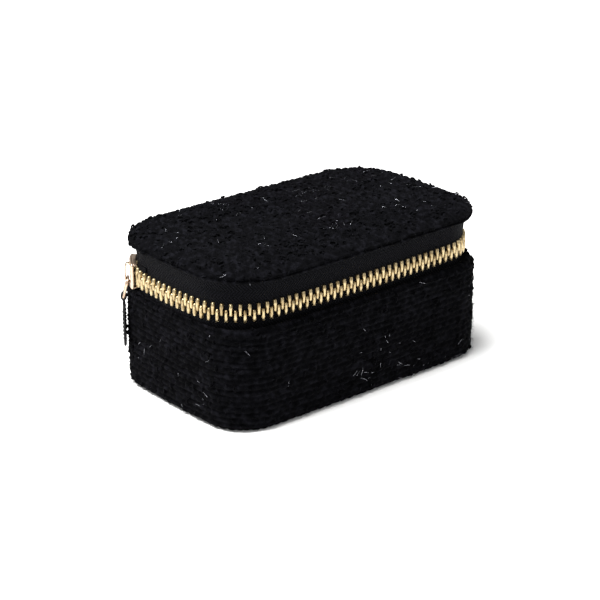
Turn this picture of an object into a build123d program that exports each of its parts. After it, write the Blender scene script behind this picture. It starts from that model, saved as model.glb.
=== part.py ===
"""Zip-round jewellery case: tweed-covered base and padded lid joined by a fabric spine and a metal zip.

Millimetres. +Z is up, -Y is the front, +Y is the hinge side, and the origin is the middle of the underside.
"""
from build123d import *
import math
import os
from dataclasses import dataclass

# ---- driving dimensions -------------------------------------------------------------------
# Plans: half length, half depth, corner radius, radius of the bowed ends, radius of the bowed sides.
ZIP_PLAN = (48.9, 27.6, 16.0, 150.0, 600.0)
BASE_PLAN = (48.5, 29.2, 13.2, 400.0, 3000.0)
LID_PLAN = (49.5, 29.8, 18.0, 400.0, 3000.0)

# Heights.
BASE_TOP = 29.0
BASE_BOARDS_TOP = 27.8
ZIP_Z = 33.6
LID_UNDER = 42.0
LID_BOARD_UNDER = 42.6
LID_BOARD_TOP = 43.8
LID_FOAM_TOP = 44.8
LID_TOP = 45.6
FOAM_EDGE_R = 0.8

# Sheet and board thicknesses.
TWEED = 1.0
BOTTOM_TWEED = 0.9
WADDING = 0.8
BOARD = 1.5
VELVET = 0.8
TURN_UNDER = 2.2
BOTTOM_EDGE_R = 2.0

# Zip: insets are measured inwards from the outer face of the teeth.
CHAIN_DEPTH = 2.4
TAPE_OUT = 0.95
TAPE_IN = 1.45
TAPE_GAP = 0.9
TAPE_SLOT = 0.56
TOOTH_PITCH = 2.4
TOOTH_WIDTH = 0.9
TOOTH_TIP = 0.7
TOOTH_ROOT = 2.5
SPREAD = 1.15
CHAIN_END = 50.0
SPREAD_START = 22.0
STOP_START = 52.6
STOP_WIDTH = 3.5
SPINE_Y = 24.6

# Slider.
SLIDER_AT = 36.5
SLIDER_HALF = 14.7
SLIDER_GAP = 0.25
PLATE = 1.0
SLIDER_HALF_WIDTH = 4.3
FLANGE = 0.45
FLANGE_REACH = 1.0
WEDGE_HALF = 0.28
BRIDGE_HALF_HEIGHT = 3.1
BRIDGE_HALF_WIDTH = 1.0
BRIDGE_CLEAR = 1.0
BRIDGE_BAR = 0.5

# Pull: a wire loop under the bridge, and a folded leather tab round the loop's lower bar.
WIRE_R = 0.4
LOOP_HALF_WIDTH = 2.1
LOOP_TOP = (1.75, -1.7)
LOOP_FOOT = (3.1, -7.1)
TAB_LENGTH = 15.0
TAB_HALF_WIDTH = 3.0
TAB_THICK = 0.8
TAB_EYE_R = 0.95

# Inside.
FLOOR_BOARD_TOP = BOTTOM_TWEED + BOARD
FLOOR_FOAM_TOP = FLOOR_BOARD_TOP + 0.8
FLOOR_TOP = FLOOR_FOAM_TOP + 0.6
ROLL_COUNT = 4
ROLL_PITCH = 9.6
ROLL_WIDTH = 9.2
ROLL_TOP = 24.0
ROLL_COVER = 0.7
FIRST_ROLL_X = -38.4
ROLL_SHORTER = 1.2
END_ROLL_SHORTER = 11.0
DIVIDER = 2.0
DIVIDER_TOP = 23.0
DIVIDER_X = -3.6
MIRROR = (76.0, 38.0, 6.0)
MIRROR_THICK = 1.2
MIRROR_FRAME = (82.0, 44.0, 9.0)
MIRROR_FRAME_LIP = 2.5

HINGE_GAP = 0.3


# ---- outlines -----------------------------------------------------------------------------
@dataclass(frozen=True)
class Outline:
    """A rounded rectangle with bowed sides: eight arcs, each tangent to the next."""

    half_x: float
    half_y: float
    corner: float
    end: float
    side: float

    def end_centre(self):
        """Centre of the right-hand end's arc."""
        return Vector(self.half_x - self.end, 0)

    def side_centre(self):
        """Centre of the rear side's arc."""
        return Vector(0, self.half_y - self.side)

    def corner_centre(self):
        """Centre of the rear right corner: where circles about the two big centres cross."""
        a = self.end_centre()
        b = self.side_centre()
        to_a = self.end - self.corner
        to_b = self.side - self.corner
        apart = (b - a).length
        along = (to_a**2 - to_b**2 + apart**2) / (2 * apart)
        aside = math.sqrt(to_a**2 - along**2)
        unit = (b - a).normalized()
        return a + unit * along + Vector(-unit.Y, unit.X) * aside

    def end_angle(self):
        """Angle from +X at which the end's arc meets the corner's."""
        to = self.corner_centre() - self.end_centre()
        return math.degrees(math.atan2(to.Y, to.X))

    def side_angle(self):
        """Angle from +X at which the corner's arc meets the side's."""
        to = self.corner_centre() - self.side_centre()
        return math.degrees(math.atan2(to.Y, to.X))

    def arcs(self, inset):
        """The eight arcs, anticlockwise from the right-hand end: centre, radius, first and last angle."""
        c = self.corner_centre()
        e = self.end_centre()
        s = self.side_centre()
        a = self.end_angle()
        b = self.side_angle()
        small = self.corner - inset
        return [
            (e, self.end - inset, -a, a),
            (c, small, a, b),
            (s, self.side - inset, b, 180 - b),
            (Vector(-c.X, c.Y), small, 180 - b, 180 - a),
            (Vector(-e.X, 0), self.end - inset, 180 - a, 180 + a),
            (Vector(-c.X, -c.Y), small, 180 + a, 180 + b),
            (Vector(0, -s.Y), self.side - inset, 180 + b, 360 - b),
            (Vector(c.X, -c.Y), small, 360 - b, 360 - a),
        ]


def on_circle(centre, radius, angle):
    """The point of a circle at an angle in degrees."""
    return centre + Vector(math.cos(math.radians(angle)), math.sin(math.radians(angle))) * radius


def arc_edge(centre, radius, first, last):
    """One arc of an outline as an edge."""
    ends = [on_circle(centre, radius, t) for t in (first, (first + last) / 2, last)]
    return ThreePointArc(*ends)


def slab(outline, inset, low, high):
    """The plan, moved in by inset, standing from low to high."""
    edges = [arc_edge(*arc) for arc in outline.arcs(inset)]
    face = Face(Wire(edges))
    return Pos(0, 0, low) * extrude(face, amount=high - low, dir=(0, 0, 1))


def ring(outline, outer, inner, low, high):
    """A wall that follows the plan, between two insets."""
    return slab(outline, outer, low, high) - slab(outline, inner, low, high)


def lip(outer, outer_inset, inner, inner_inset, low, high):
    """The band between one plan and another."""
    return slab(outer, outer_inset, low, high) - slab(inner, inner_inset, low, high)


def block(x0, x1, y0, y1, z0, z1):
    """A box between two corners."""
    size = Box(x1 - x0, y1 - y0, z1 - z0)
    return Pos((x0 + x1) / 2, (y0 + y1) / 2, (z0 + z1) / 2) * size


def edges_at(shape, z):
    """The level edges of a shape at one height."""
    return [e for e in shape.edges() if abs(e.bounding_box().min.Z - z) < 0.01 and e.bounding_box().size.Z < 0.01]


ZIP = Outline(*ZIP_PLAN)
BASE = Outline(*BASE_PLAN)
LID = Outline(*LID_PLAN)
CORNER = ZIP.corner_centre()
SLIDER_CENTRE = Vector(-CORNER.X, CORNER.Y)


# ---- base shell ---------------------------------------------------------------------------
def base_cover_whole():
    """The tweed of the base before it is parted: bottom, wall and the edge folded in at the top."""
    outside = slab(BASE, 0, 0, BASE_TOP)
    outside = fillet(edges_at(outside, 0), BOTTOM_EDGE_R)
    outside = fillet(edges_at(outside, BASE_TOP), 0.7)
    inside = slab(BASE, TWEED, BOTTOM_TWEED, BASE_BOARDS_TOP)
    inside = fillet(edges_at(inside, BOTTOM_TWEED), BOTTOM_EDGE_R - TWEED + 0.2)
    return outside - inside - slab(ZIP, TAPE_OUT, BASE_BOARDS_TOP - 0.01, BASE_TOP + 1)


def base_side_cover():
    """Tweed wall, turned under the bottom edge and folded in at the top."""
    return base_cover_whole() - slab(BASE, TURN_UNDER, -1, BOTTOM_TWEED)


def base_bottom_cover():
    """Tweed panel under the base, inside the turned edge."""
    return slab(BASE, TURN_UNDER, 0, BOTTOM_TWEED)


def base_bottom_board():
    """Stiff board in the bottom."""
    return slab(BASE, TURN_UNDER, BOTTOM_TWEED, FLOOR_BOARD_TOP)


def base_wall_wadding():
    """Thin wadding between the tweed and the wall board."""
    return ring(BASE, TWEED, TWEED + WADDING, FLOOR_BOARD_TOP, BASE_BOARDS_TOP)


def base_wall_board():
    """Stiff board bent round the wall."""
    outer = TWEED + WADDING
    return ring(BASE, outer, outer + BOARD, FLOOR_BOARD_TOP, BASE_BOARDS_TOP)


LINING_OUT = TWEED + WADDING + BOARD
LINING_IN = LINING_OUT + VELVET


def base_wall_lining():
    """Velvet on the inside of the wall, turned out over the board to the zip tape."""
    wall = ring(BASE, LINING_OUT, LINING_IN, FLOOR_BOARD_TOP, BASE_BOARDS_TOP)
    top = lip(ZIP, TAPE_IN, BASE, LINING_IN, BASE_BOARDS_TOP, BASE_TOP - 0.1)
    return wall + top


def base_floor_foam():
    """Foam sheet under the floor velvet."""
    return slab(BASE, LINING_IN, FLOOR_BOARD_TOP, FLOOR_FOAM_TOP)


def base_floor_lining():
    """Velvet on the floor."""
    return slab(BASE, LINING_IN, FLOOR_FOAM_TOP, FLOOR_TOP)


# ---- inside -------------------------------------------------------------------------------
def rounded_box(length, width, radius, low, high):
    """A level plate with rounded corners."""
    return Pos(0, 0, low) * extrude(RectangleRounded(length, width, radius), amount=high - low)


def tray_depth():
    """Clear depth from front lining to rear lining."""
    return 2 * (BASE.half_y - LINING_IN)


def roll_outline(width, height, length):
    """A foam roll: flat bottom, domed top, lying along Y."""
    radius = width / 2 - 0.01
    body = block(-width / 2, width / 2, -length / 2, length / 2, 0, height)
    return fillet([e for e in body.edges().filter_by(Axis.Y) if e.center().Z > height / 2], radius * 0.9)


def roll_length(index):
    """Length of a ring roll: the end ones are shorter, where the case's corners are round."""
    return tray_depth() - (END_ROLL_SHORTER if index == 0 else ROLL_SHORTER)


def roll_x(index):
    """Middle of a ring roll."""
    return FIRST_ROLL_X + index * ROLL_PITCH


def ring_roll_foam(index):
    """Foam core of a ring roll."""
    height = ROLL_TOP - FLOOR_TOP - ROLL_COVER
    core = roll_outline(ROLL_WIDTH - 2 * ROLL_COVER, height, roll_length(index) - 2 * ROLL_COVER)
    return Pos(roll_x(index), 0, FLOOR_TOP) * core


def ring_roll_cover(index):
    """Velvet over a ring roll, open underneath where it is glued to the floor."""
    whole = roll_outline(ROLL_WIDTH, ROLL_TOP - FLOOR_TOP, roll_length(index))
    return Pos(roll_x(index), 0, FLOOR_TOP) * whole - ring_roll_foam(index)


def divider_long():
    """Velvet-covered divider between the ring rolls and the compartments."""
    half = tray_depth() / 2 - 0.1
    return block(DIVIDER_X - DIVIDER / 2, DIVIDER_X + DIVIDER / 2, -half, half, FLOOR_TOP, DIVIDER_TOP)


def divider_cross():
    """Velvet-covered divider between the two compartments."""
    end = BASE.half_x - LINING_IN - 0.1
    return block(DIVIDER_X + DIVIDER / 2, end, -DIVIDER / 2, DIVIDER / 2, FLOOR_TOP, DIVIDER_TOP)


# ---- lid ----------------------------------------------------------------------------------
def lid_cover():
    """Tweed over the lid's padding, turned under to the zip tape."""
    outside = slab(LID, 0, LID_UNDER, LID_TOP)
    outside = fillet(edges_at(outside, LID_TOP), 2.2)
    outside = fillet(edges_at(outside, LID_UNDER), 0.8)
    inside = slab(LID, TWEED, LID_BOARD_UNDER, LID_FOAM_TOP)
    inside = fillet(edges_at(inside, LID_FOAM_TOP), FOAM_EDGE_R)
    return outside - inside - slab(ZIP, TAPE_OUT, LID_UNDER - 1, LID_BOARD_UNDER + 0.01)


def lid_board():
    """Stiff board of the lid."""
    return slab(LID, TWEED, LID_BOARD_UNDER, LID_BOARD_TOP)


def lid_foam():
    """Soft padding on the lid board."""
    pad = slab(LID, TWEED, LID_BOARD_TOP, LID_FOAM_TOP)
    return fillet(edges_at(pad, LID_FOAM_TOP), FOAM_EDGE_R)


LID_WALL_BOTTOM = ZIP_Z + SLIDER_HALF_WIDTH + 0.4
LID_WALL_IN = TAPE_IN + 1.2
LID_LINING_IN = LID_WALL_IN + 0.7
LID_CEILING = LID_BOARD_UNDER - 0.7


def lid_wall_board():
    """Narrow board strip behind the upper part of the lid's tape."""
    return ring(ZIP, TAPE_IN, LID_WALL_IN, LID_WALL_BOTTOM, LID_BOARD_UNDER)


def lid_lining():
    """Velvet inside the lid: the ceiling and the inside of the narrow wall."""
    wall = ring(ZIP, LID_WALL_IN, LID_LINING_IN, LID_WALL_BOTTOM, LID_BOARD_UNDER)
    return wall + slab(ZIP, LID_LINING_IN, LID_CEILING, LID_BOARD_UNDER)


def lid_mirror():
    """Small mirror on the lid's ceiling."""
    return rounded_box(*MIRROR, LID_CEILING - MIRROR_THICK, LID_CEILING)


def mirror_frame():
    """Velvet-covered frame that holds the mirror's edge."""
    low = LID_CEILING - MIRROR_THICK - 0.5
    whole = rounded_box(*MIRROR_FRAME, low, LID_CEILING)
    window = rounded_box(
        MIRROR[0] - 2 * MIRROR_FRAME_LIP, MIRROR[1] - 2 * MIRROR_FRAME_LIP, 4.0, low - 1, LID_CEILING
    )
    return whole - window - lid_mirror()


# ---- zip ----------------------------------------------------------------------------------
def level(theta):
    """How far back a point of the zip's rear corner lies, at an angle from the left or right end."""
    return CORNER.Y + (ZIP.corner - CHAIN_DEPTH / 2) * math.sin(math.radians(theta))


ZONE_Y = level(0.0)


def in_front_of(y):
    """A big block that holds everything in front of a level plane."""
    return block(-80, 80, -80, y, 0, 60)


def end_zone():
    """The rear left stretch of the zip where the slider works."""
    return block(-80, 0, ZONE_Y, SPINE_Y - 0.2, 0, 60)


def zip_tape_lower():
    """Lower zip tape: from the base's folded edge up to the teeth."""
    tape = ring(ZIP, TAPE_OUT, TAPE_IN, BASE_BOARDS_TOP, ZIP_Z - TAPE_GAP)
    return tape & in_front_of(SPINE_Y - 0.2)


def zip_tape_upper():
    """Upper zip tape: the lid's soft wall, as far as the stretch where the slider works."""
    tape = ring(ZIP, TAPE_OUT, TAPE_IN, ZIP_Z + TAPE_GAP, LID_BOARD_UNDER)
    low_end = end_zone() & block(-80, 0, -80, 80, 0, LID_WALL_BOTTOM - 0.1)
    return (tape & in_front_of(SPINE_Y - 0.2)) - low_end


def zip_tape_upper_end():
    """The last stretch of the upper tape, which the slider grips."""
    tape = ring(ZIP, TAPE_OUT, TAPE_IN, ZIP_Z + TAPE_GAP, LID_WALL_BOTTOM - 0.4)
    return tape & block(-80, 0, ZONE_Y + 0.15, SPINE_Y - 0.2, 0, 60)


def chain_places(offset):
    """Where one row of teeth sits: distances along the zip, from the middle of the front, and each one's
    place, direction and angle round the rear corner (negative before that corner)."""
    half = CHAIN_DEPTH / 2
    end_angle = ZIP.end_angle()
    side_angle = ZIP.side_angle()
    front = (ZIP.side - half) * math.radians(90 - side_angle)
    corner_1 = (ZIP.corner - half) * math.radians(side_angle - end_angle)
    end = (ZIP.end - half) * math.radians(2 * end_angle)
    corner_2 = (ZIP.corner - half) * math.radians(CHAIN_END - end_angle)
    total = front + corner_1 + end + corner_2
    count = int((total - offset) / TOOTH_PITCH)
    places = []
    for k in range(count + 1):
        s = offset + k * TOOTH_PITCH
        for side in (1, -1):
            if side == -1 and s == 0:
                continue
            places.append((side, *along_zip(s, half, front, corner_1, end)))
    return places


def along_zip(s, half, front, corner_1, end):
    """Point and outward direction, in degrees from +X, at a distance s along the right half of the chain."""
    a = ZIP.end_angle()
    if s < front:
        angle = -90 + math.degrees(s / (ZIP.side - half))
        return on_circle(Vector(0, ZIP.side - ZIP.half_y), ZIP.side - half, angle), angle
    if s < front + corner_1:
        angle = -a - math.degrees((front + corner_1 - s) / (ZIP.corner - half))
        return on_circle(Vector(CORNER.X, -CORNER.Y), ZIP.corner - half, angle), angle
    if s < front + corner_1 + end:
        angle = -a + math.degrees((s - front - corner_1) / (ZIP.end - half))
        return on_circle(ZIP.end_centre(), ZIP.end - half, angle), angle
    angle = a + math.degrees((s - front - corner_1 - end) / (ZIP.corner - half))
    return on_circle(CORNER, ZIP.corner - half, angle), angle


def in_slider_zone(side, point):
    """True for a tooth of the rear left stretch where the slider works."""
    return side < 0 and point.Y > ZONE_Y


def spread(side, point, angle):
    """How far the slider's wedge parts the rows at a tooth."""
    return SPREAD if in_slider_zone(side, point) and angle > SPREAD_START else 0.0


def tooth(side, point, angle, way, shift):
    """One tooth: its tip reaches past the middle of the chain, and its root grips the tape. way is 1 up, -1 down."""
    height = TOOTH_ROOT + TOOTH_TIP
    body = Pos(0, 0, way * ((TOOTH_ROOT - TOOTH_TIP) / 2 + shift)) * Box(CHAIN_DEPTH, TOOTH_WIDTH, height)
    slot = Pos(0, 0, way * (TAPE_GAP - 0.02 + height)) * Box(TAPE_SLOT, 2 * TOOTH_WIDTH, 2 * height)
    turn = angle if side > 0 else 180 - angle
    return Pos(side * point.X, point.Y, ZIP_Z) * Rot(0, 0, turn) * (body - slot)


def teeth(way, offset, wanted):
    """A row of separate teeth. wanted picks the slider's stretch, the rest, or all."""
    row = []
    for side, point, angle in chain_places(offset):
        inside = in_slider_zone(side, point)
        if wanted == "all" or inside == (wanted == "end"):
            row.append(tooth(side, point, angle, way, spread(side, point, angle)))
    return Compound(row)


def corner_sector(inner, outer, first, last, low, high):
    """Part of a ring about the rear left corner's centre. Angles run from the left end towards the rear."""
    a = 180 - first
    b = 180 - last
    points = [on_circle(Vector(0, 0), r, t) for r, t in ((inner, a), (outer, a), (outer, b), (inner, b))]
    edges = [
        Line(points[0], points[1]),
        arc_edge(Vector(0, 0), outer, a, b),
        Line(points[2], points[3]),
        arc_edge(Vector(0, 0), inner, b, a),
    ]
    face = Face(Wire(edges))
    solid = extrude(face, amount=high - low, dir=(0, 0, 1))
    return Pos(SLIDER_CENTRE.X, SLIDER_CENTRE.Y, ZIP_Z + low) * solid


def zip_top_stop(way):
    """Crimped stop at the closed end of one tape."""
    inner = ZIP.corner - CHAIN_DEPTH
    low = WEDGE_HALF + 0.15
    high = TOOTH_ROOT + SPREAD
    first = STOP_START
    ends = (low, high) if way > 0 else (-high, -low)
    slot = (TAPE_GAP - 0.02, high + 1) if way > 0 else (-high - 1, 0.02 - TAPE_GAP)
    tape = corner_sector(ZIP.corner - TAPE_IN, ZIP.corner - TAPE_OUT, first - 1, first + STOP_WIDTH + 1, *slot)
    return corner_sector(inner, ZIP.corner, first, first + STOP_WIDTH, *ends) - tape


def zip_bottom_stop():
    """Box that joins the two tapes at the opening end, on the rear right corner, cut clear of the lid's tape."""
    inner = ZIP.corner - CHAIN_DEPTH
    first = STOP_START
    left = corner_sector(inner, ZIP.corner, first, first + STOP_WIDTH + 1, -TOOTH_ROOT, TAPE_GAP - 0.1)
    tape = corner_sector(ZIP.corner - TAPE_IN, ZIP.corner - TAPE_OUT, first - 1, first + 8, -5, -TAPE_GAP)
    return mirror(left - tape, about=Plane.YZ)


# ---- spine --------------------------------------------------------------------------------
def spine_band(outer, inner, low, high):
    """A band of the rear wall between the two ends of the zip."""
    return ring(ZIP, outer, inner, low, high) & block(-80, 80, SPINE_Y, 80, 0, 60)


def spine_cover_lower():
    """Tweed spine below the hinge line."""
    return spine_band(0.1, 1.2, BASE_TOP, ZIP_Z - HINGE_GAP)


def spine_cover_upper():
    """Tweed spine above the hinge line."""
    return spine_band(0.1, 1.2, ZIP_Z + HINGE_GAP, LID_UNDER)


def spine_lining_lower():
    """Velvet on the inside of the spine, below the hinge line."""
    return spine_band(1.2, 2.2, BASE_TOP, ZIP_Z - HINGE_GAP)


def spine_lining_upper():
    """Velvet on the inside of the spine, above the hinge line."""
    return spine_band(1.2, 2.2, ZIP_Z + HINGE_GAP, LID_WALL_BOTTOM)


# ---- slider and pull ----------------------------------------------------------------------
def zip_slider():
    """Slider: outer and inner plates bent to the corner, four flanges, and the wedge that joins the plates."""
    r_out = ZIP.corner + SLIDER_GAP
    r_in = ZIP.corner - CHAIN_DEPTH - SLIDER_GAP
    first = SLIDER_AT - SLIDER_HALF
    last = SLIDER_AT + SLIDER_HALF
    w = SLIDER_HALF_WIDTH
    body = corner_sector(r_out, r_out + PLATE, first, last, -w, w)
    body += corner_sector(r_in - PLATE, r_in, first, last, -w, w)
    for low, high in ((w - FLANGE, w), (-w, FLANGE - w)):
        body += corner_sector(r_out - FLANGE_REACH, r_out, first, last, low, high)
        body += corner_sector(r_in, r_in + FLANGE_REACH, first, last, low, high)
    return body + corner_sector(r_in, r_out, last - 7, last - 1.5, -WEDGE_HALF, WEDGE_HALF)


def slider_frame(radial, height):
    """A frame at the slider's middle: X along the zip towards the rear, Y outwards, Z up."""
    angle = math.radians(SLIDER_AT)
    outwards = Vector(-math.cos(angle), math.sin(angle))
    origin = SLIDER_CENTRE + outwards * (ZIP.corner + radial)
    rearwards = Vector(math.sin(angle), math.cos(angle))
    return Plane(origin=(origin.X, origin.Y, ZIP_Z + height), x_dir=rearwards, z_dir=(0, 0, 1)).location


def zip_slider_bridge():
    """Bridge on the slider's outer plate, which the pull's loop hangs in."""
    plate_top = SLIDER_GAP + PLATE
    reach = BRIDGE_CLEAR + BRIDGE_BAR
    w = BRIDGE_HALF_WIDTH
    h = BRIDGE_HALF_HEIGHT
    whole = block(-w, w, 0, reach, -h, h)
    whole = fillet([e for e in whole.edges().filter_by(Axis.X) if e.center().Y > reach / 2], 0.6)
    hole = block(-w - 1, w + 1, -1, BRIDGE_CLEAR, -h + BRIDGE_BAR, h - BRIDGE_BAR)
    foot = corner_sector(ZIP.corner - 1, ZIP.corner + plate_top, SLIDER_AT - 12, SLIDER_AT + 12, -6, 6)
    return slider_frame(plate_top - 0.1, 0) * (whole - hole) - foot


def rod(start, end, radius):
    """A round bar between two points."""
    run = Vector(*end) - Vector(*start)
    plane = Plane(origin=start, z_dir=run.normalized())
    return plane.location * extrude(Circle(radius), amount=run.length)


def pull_loop():
    """Wire loop that hangs in the bridge, leaning out over the base's folded edge."""
    top_y, top_z = LOOP_TOP
    foot_y, foot_z = LOOP_FOOT
    w = LOOP_HALF_WIDTH
    corners = [(-w, top_y, top_z), (w, top_y, top_z), (w, foot_y, foot_z), (-w, foot_y, foot_z)]
    loop = Part()
    for start, end in zip(corners, corners[1:] + corners[:1]):
        loop += rod(start, end, WIRE_R)
        loop += Pos(*start) * Sphere(WIRE_R)
    return slider_frame(0, 0) * loop


def pull_tab():
    """Leather strip folded round the loop's lower bar and glued to itself."""
    foot_y, foot_z = LOOP_FOOT
    half = LOOP_HALF_WIDTH - WIRE_R - 0.15
    eye = Rot(0, 90, 0) * Cylinder(TAB_EYE_R, 2 * half)
    strip = block(-half, half, -TAB_THICK / 2, TAB_THICK / 2, -4.0, 0)
    blade = Pos(0, 0, -3.0 - (TAB_LENGTH - 3.0) / 2) * Box(2 * TAB_HALF_WIDTH, TAB_THICK, TAB_LENGTH - 3.0)
    blade = fillet([e for e in blade.edges().filter_by(Axis.Y) if e.center().Z < -TAB_LENGTH / 2], 2.0)
    hole = Rot(0, 90, 0) * Cylinder(WIRE_R + 0.06, 4 * half)
    return slider_frame(0, 0) * Pos(0, foot_y, foot_z) * (eye + strip + blade - hole)


# ---- export -------------------------------------------------------------------------------
def all_parts():
    """Every node's name and its maker."""
    parts = {
        "base_bottom_cover": base_bottom_cover,
        "base_side_cover": base_side_cover,
        "base_bottom_board": base_bottom_board,
        "base_wall_board": base_wall_board,
        "base_wall_wadding": base_wall_wadding,
        "base_wall_lining": base_wall_lining,
        "base_floor_foam": base_floor_foam,
        "base_floor_lining": base_floor_lining,
        "compartment_divider_long": divider_long,
        "compartment_divider_cross": divider_cross,
        "lid_cover": lid_cover,
        "lid_board": lid_board,
        "lid_foam": lid_foam,
        "lid_wall_board": lid_wall_board,
        "lid_lining": lid_lining,
        "lid_mirror": lid_mirror,
        "mirror_frame": mirror_frame,
        "spine_cover_lower": spine_cover_lower,
        "spine_cover_upper": spine_cover_upper,
        "spine_lining_lower": spine_lining_lower,
        "spine_lining_upper": spine_lining_upper,
        "zip_tape_lower": zip_tape_lower,
        "zip_tape_upper": zip_tape_upper,
        "zip_tape_upper_end": zip_tape_upper_end,
        "zip_teeth_lower": lambda: teeth(-1, 0.0, "all"),
        "zip_teeth_upper": lambda: teeth(1, TOOTH_PITCH / 2, "rest"),
        "zip_teeth_upper_end": lambda: teeth(1, TOOTH_PITCH / 2, "end"),
        "zip_top_stop_lower": lambda: zip_top_stop(-1),
        "zip_top_stop_upper": lambda: zip_top_stop(1),
        "zip_bottom_stop": zip_bottom_stop,
        "zip_slider": zip_slider,
        "zip_slider_bridge": zip_slider_bridge,
        "pull_loop": pull_loop,
        "pull_tab": pull_tab,
    }
    for index in range(ROLL_COUNT):
        parts[f"ring_roll_foam_{index + 1}"] = lambda i=index: ring_roll_foam(i)
        parts[f"ring_roll_cover_{index + 1}"] = lambda i=index: ring_roll_cover(i)
    return parts


def main():
    """Makes each node and writes its STEP file."""
    os.makedirs("parts", exist_ok=True)
    for name, make in all_parts().items():
        export_step(make(), f"parts/{name}.step")
    print("rear left corner centre", SLIDER_CENTRE, "slider frame", slider_frame(0, 0))


main()
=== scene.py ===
"""Looks of the zip-round jewellery case: boucle tweed, herringbone zip tape, brass teeth and a velvet inside.

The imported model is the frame. Lengths in this script are millimetres and become metres where a mesh is made.
+Z is up, -Y is the front, +Y is the hinge side, and the origin is the middle of the underside.
"""

import enum
import itertools
import logging
import math
from dataclasses import dataclass, field

import bmesh
import bpy
import numpy as np
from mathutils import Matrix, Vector


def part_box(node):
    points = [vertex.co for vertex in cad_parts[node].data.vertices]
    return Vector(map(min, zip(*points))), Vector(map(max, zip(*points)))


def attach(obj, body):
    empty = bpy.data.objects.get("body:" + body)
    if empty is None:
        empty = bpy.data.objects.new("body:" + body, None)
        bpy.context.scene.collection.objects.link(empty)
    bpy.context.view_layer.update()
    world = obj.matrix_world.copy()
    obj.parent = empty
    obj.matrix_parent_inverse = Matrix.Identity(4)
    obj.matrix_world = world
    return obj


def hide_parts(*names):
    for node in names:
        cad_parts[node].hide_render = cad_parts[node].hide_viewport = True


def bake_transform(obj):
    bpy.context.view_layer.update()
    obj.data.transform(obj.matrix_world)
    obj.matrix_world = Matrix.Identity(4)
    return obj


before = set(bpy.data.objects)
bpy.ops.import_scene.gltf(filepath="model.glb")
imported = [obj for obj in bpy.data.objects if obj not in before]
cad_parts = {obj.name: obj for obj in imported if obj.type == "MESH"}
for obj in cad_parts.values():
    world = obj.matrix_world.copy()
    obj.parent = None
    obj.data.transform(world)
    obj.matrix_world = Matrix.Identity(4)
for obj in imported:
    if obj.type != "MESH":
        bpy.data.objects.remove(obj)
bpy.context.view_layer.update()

MM = 0.001
LOG = logging.getLogger("jewellery_case")


class Body(enum.Enum):
    """The rigid bodies that pieces ride on."""

    BASE = "base"
    LID = "lid"
    SLIDER = "slider"
    LOOP = "pull_loop_body"
    TAB = "pull_tab_body"


class Slot(enum.Enum):
    """The record's material slots."""

    TWEED = "tweed"
    TAPE = "zip_tape"
    VELVET = "velvet"
    BOARD = "board"
    BRASS = "zip_brass"
    GILT = "slider_gilt"
    LEATHER = "pull_leather"
    MIRROR = "mirror"


def height_of(node: str, top: bool) -> float:
    """Returns a CAD node's highest or lowest level in millimetres."""
    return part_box(node)[1 if top else 0].z / MM


# ---- arrays -----------------------------------------------------------------------------
def smooth(share: np.ndarray) -> np.ndarray:
    """Returns the smoothstep of numbers from 0 to 1: 3 times the square less twice the cube."""
    return share * share * (3 - 2 * share)


def running(steps: np.ndarray) -> np.ndarray:
    """Returns the distance run at each point of a line, from the lengths of its steps."""
    return np.concatenate([[0.0], np.cumsum(steps)])


def at_levels(flat: np.ndarray, height: np.ndarray) -> np.ndarray:
    """Gives points in plan their levels.

    Args:
        flat: Rows x columns x 2 points.
        height: One level for each row, or one for each point.

    Returns:
        Rows x columns x 3 points.
    """
    height = np.asarray(height, float)
    if height.ndim == 1:
        height = height[:, None]
    return np.concatenate([flat, np.broadcast_to(height[..., None], flat.shape[:2] + (1,))], axis=2)


# ---- noise ------------------------------------------------------------------------------
def scattered(cells: np.ndarray, seed: int) -> np.ndarray:
    """Gives each whole-number cell a repeatable random number.

    Formula: the cell's numbers are multiplied by large primes, added, and their bits mixed twice.

    Args:
        cells: Whole numbers, the last axis holding one cell's.
        seed: Picks another set of random numbers.

    Returns:
        Numbers from 0 to 1, one for each cell.
    """
    primes = np.array([73856093, 19349663, 83492791], np.int64)[: cells.shape[-1]]
    mixed = (cells.astype(np.int64) * primes).sum(-1) + seed * 2654435761
    mixed = (mixed ^ (mixed >> 13)) * 1274126177
    mixed = mixed ^ (mixed >> 16)
    return (mixed & 0xFFFFFF) / 0xFFFFFF


def cloudy(points: np.ndarray, cell: float, seed: int) -> np.ndarray:
    """Smooth noise in space.

    Formula: random numbers at the corners of a cubic lattice, blended by the smoothstep of the place in the cell.

    Args:
        points: Places in millimetres, the last axis holding x, y and z.
        cell: Lattice spacing in millimetres.
        seed: Picks another noise.

    Returns:
        Numbers from 0 to 1, one for each place.
    """
    scaled = points / cell
    whole = np.floor(scaled)
    part = smooth(scaled - whole)
    total = np.zeros(points.shape[:-1])
    for corner in itertools.product((0, 1), repeat=points.shape[-1]):
        step = np.array(corner)
        weight = np.prod(np.where(step == 1, part, 1 - part), axis=-1)
        total += weight * scattered(whole + step, seed)
    return total


# ---- outlines ---------------------------------------------------------------------------
@dataclass(frozen=True)
class Track:
    """Points along a plan with their outward directions and the distance run to each, in millimetres."""

    points: np.ndarray
    outward: np.ndarray
    run: np.ndarray
    closed: bool

    def length(self) -> float:
        """Returns the whole length, with the closing step if the track is closed."""
        closing = np.linalg.norm(self.points[0] - self.points[-1]) if self.closed else 0.0
        return float(self.run[-1] + closing)

    def moved_in(self, inset: np.ndarray) -> np.ndarray:
        """Returns rows x columns x 2 points: each inset's own copy of the track."""
        return self.points[None] - np.asarray(inset)[..., None] * self.outward[None]


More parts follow.
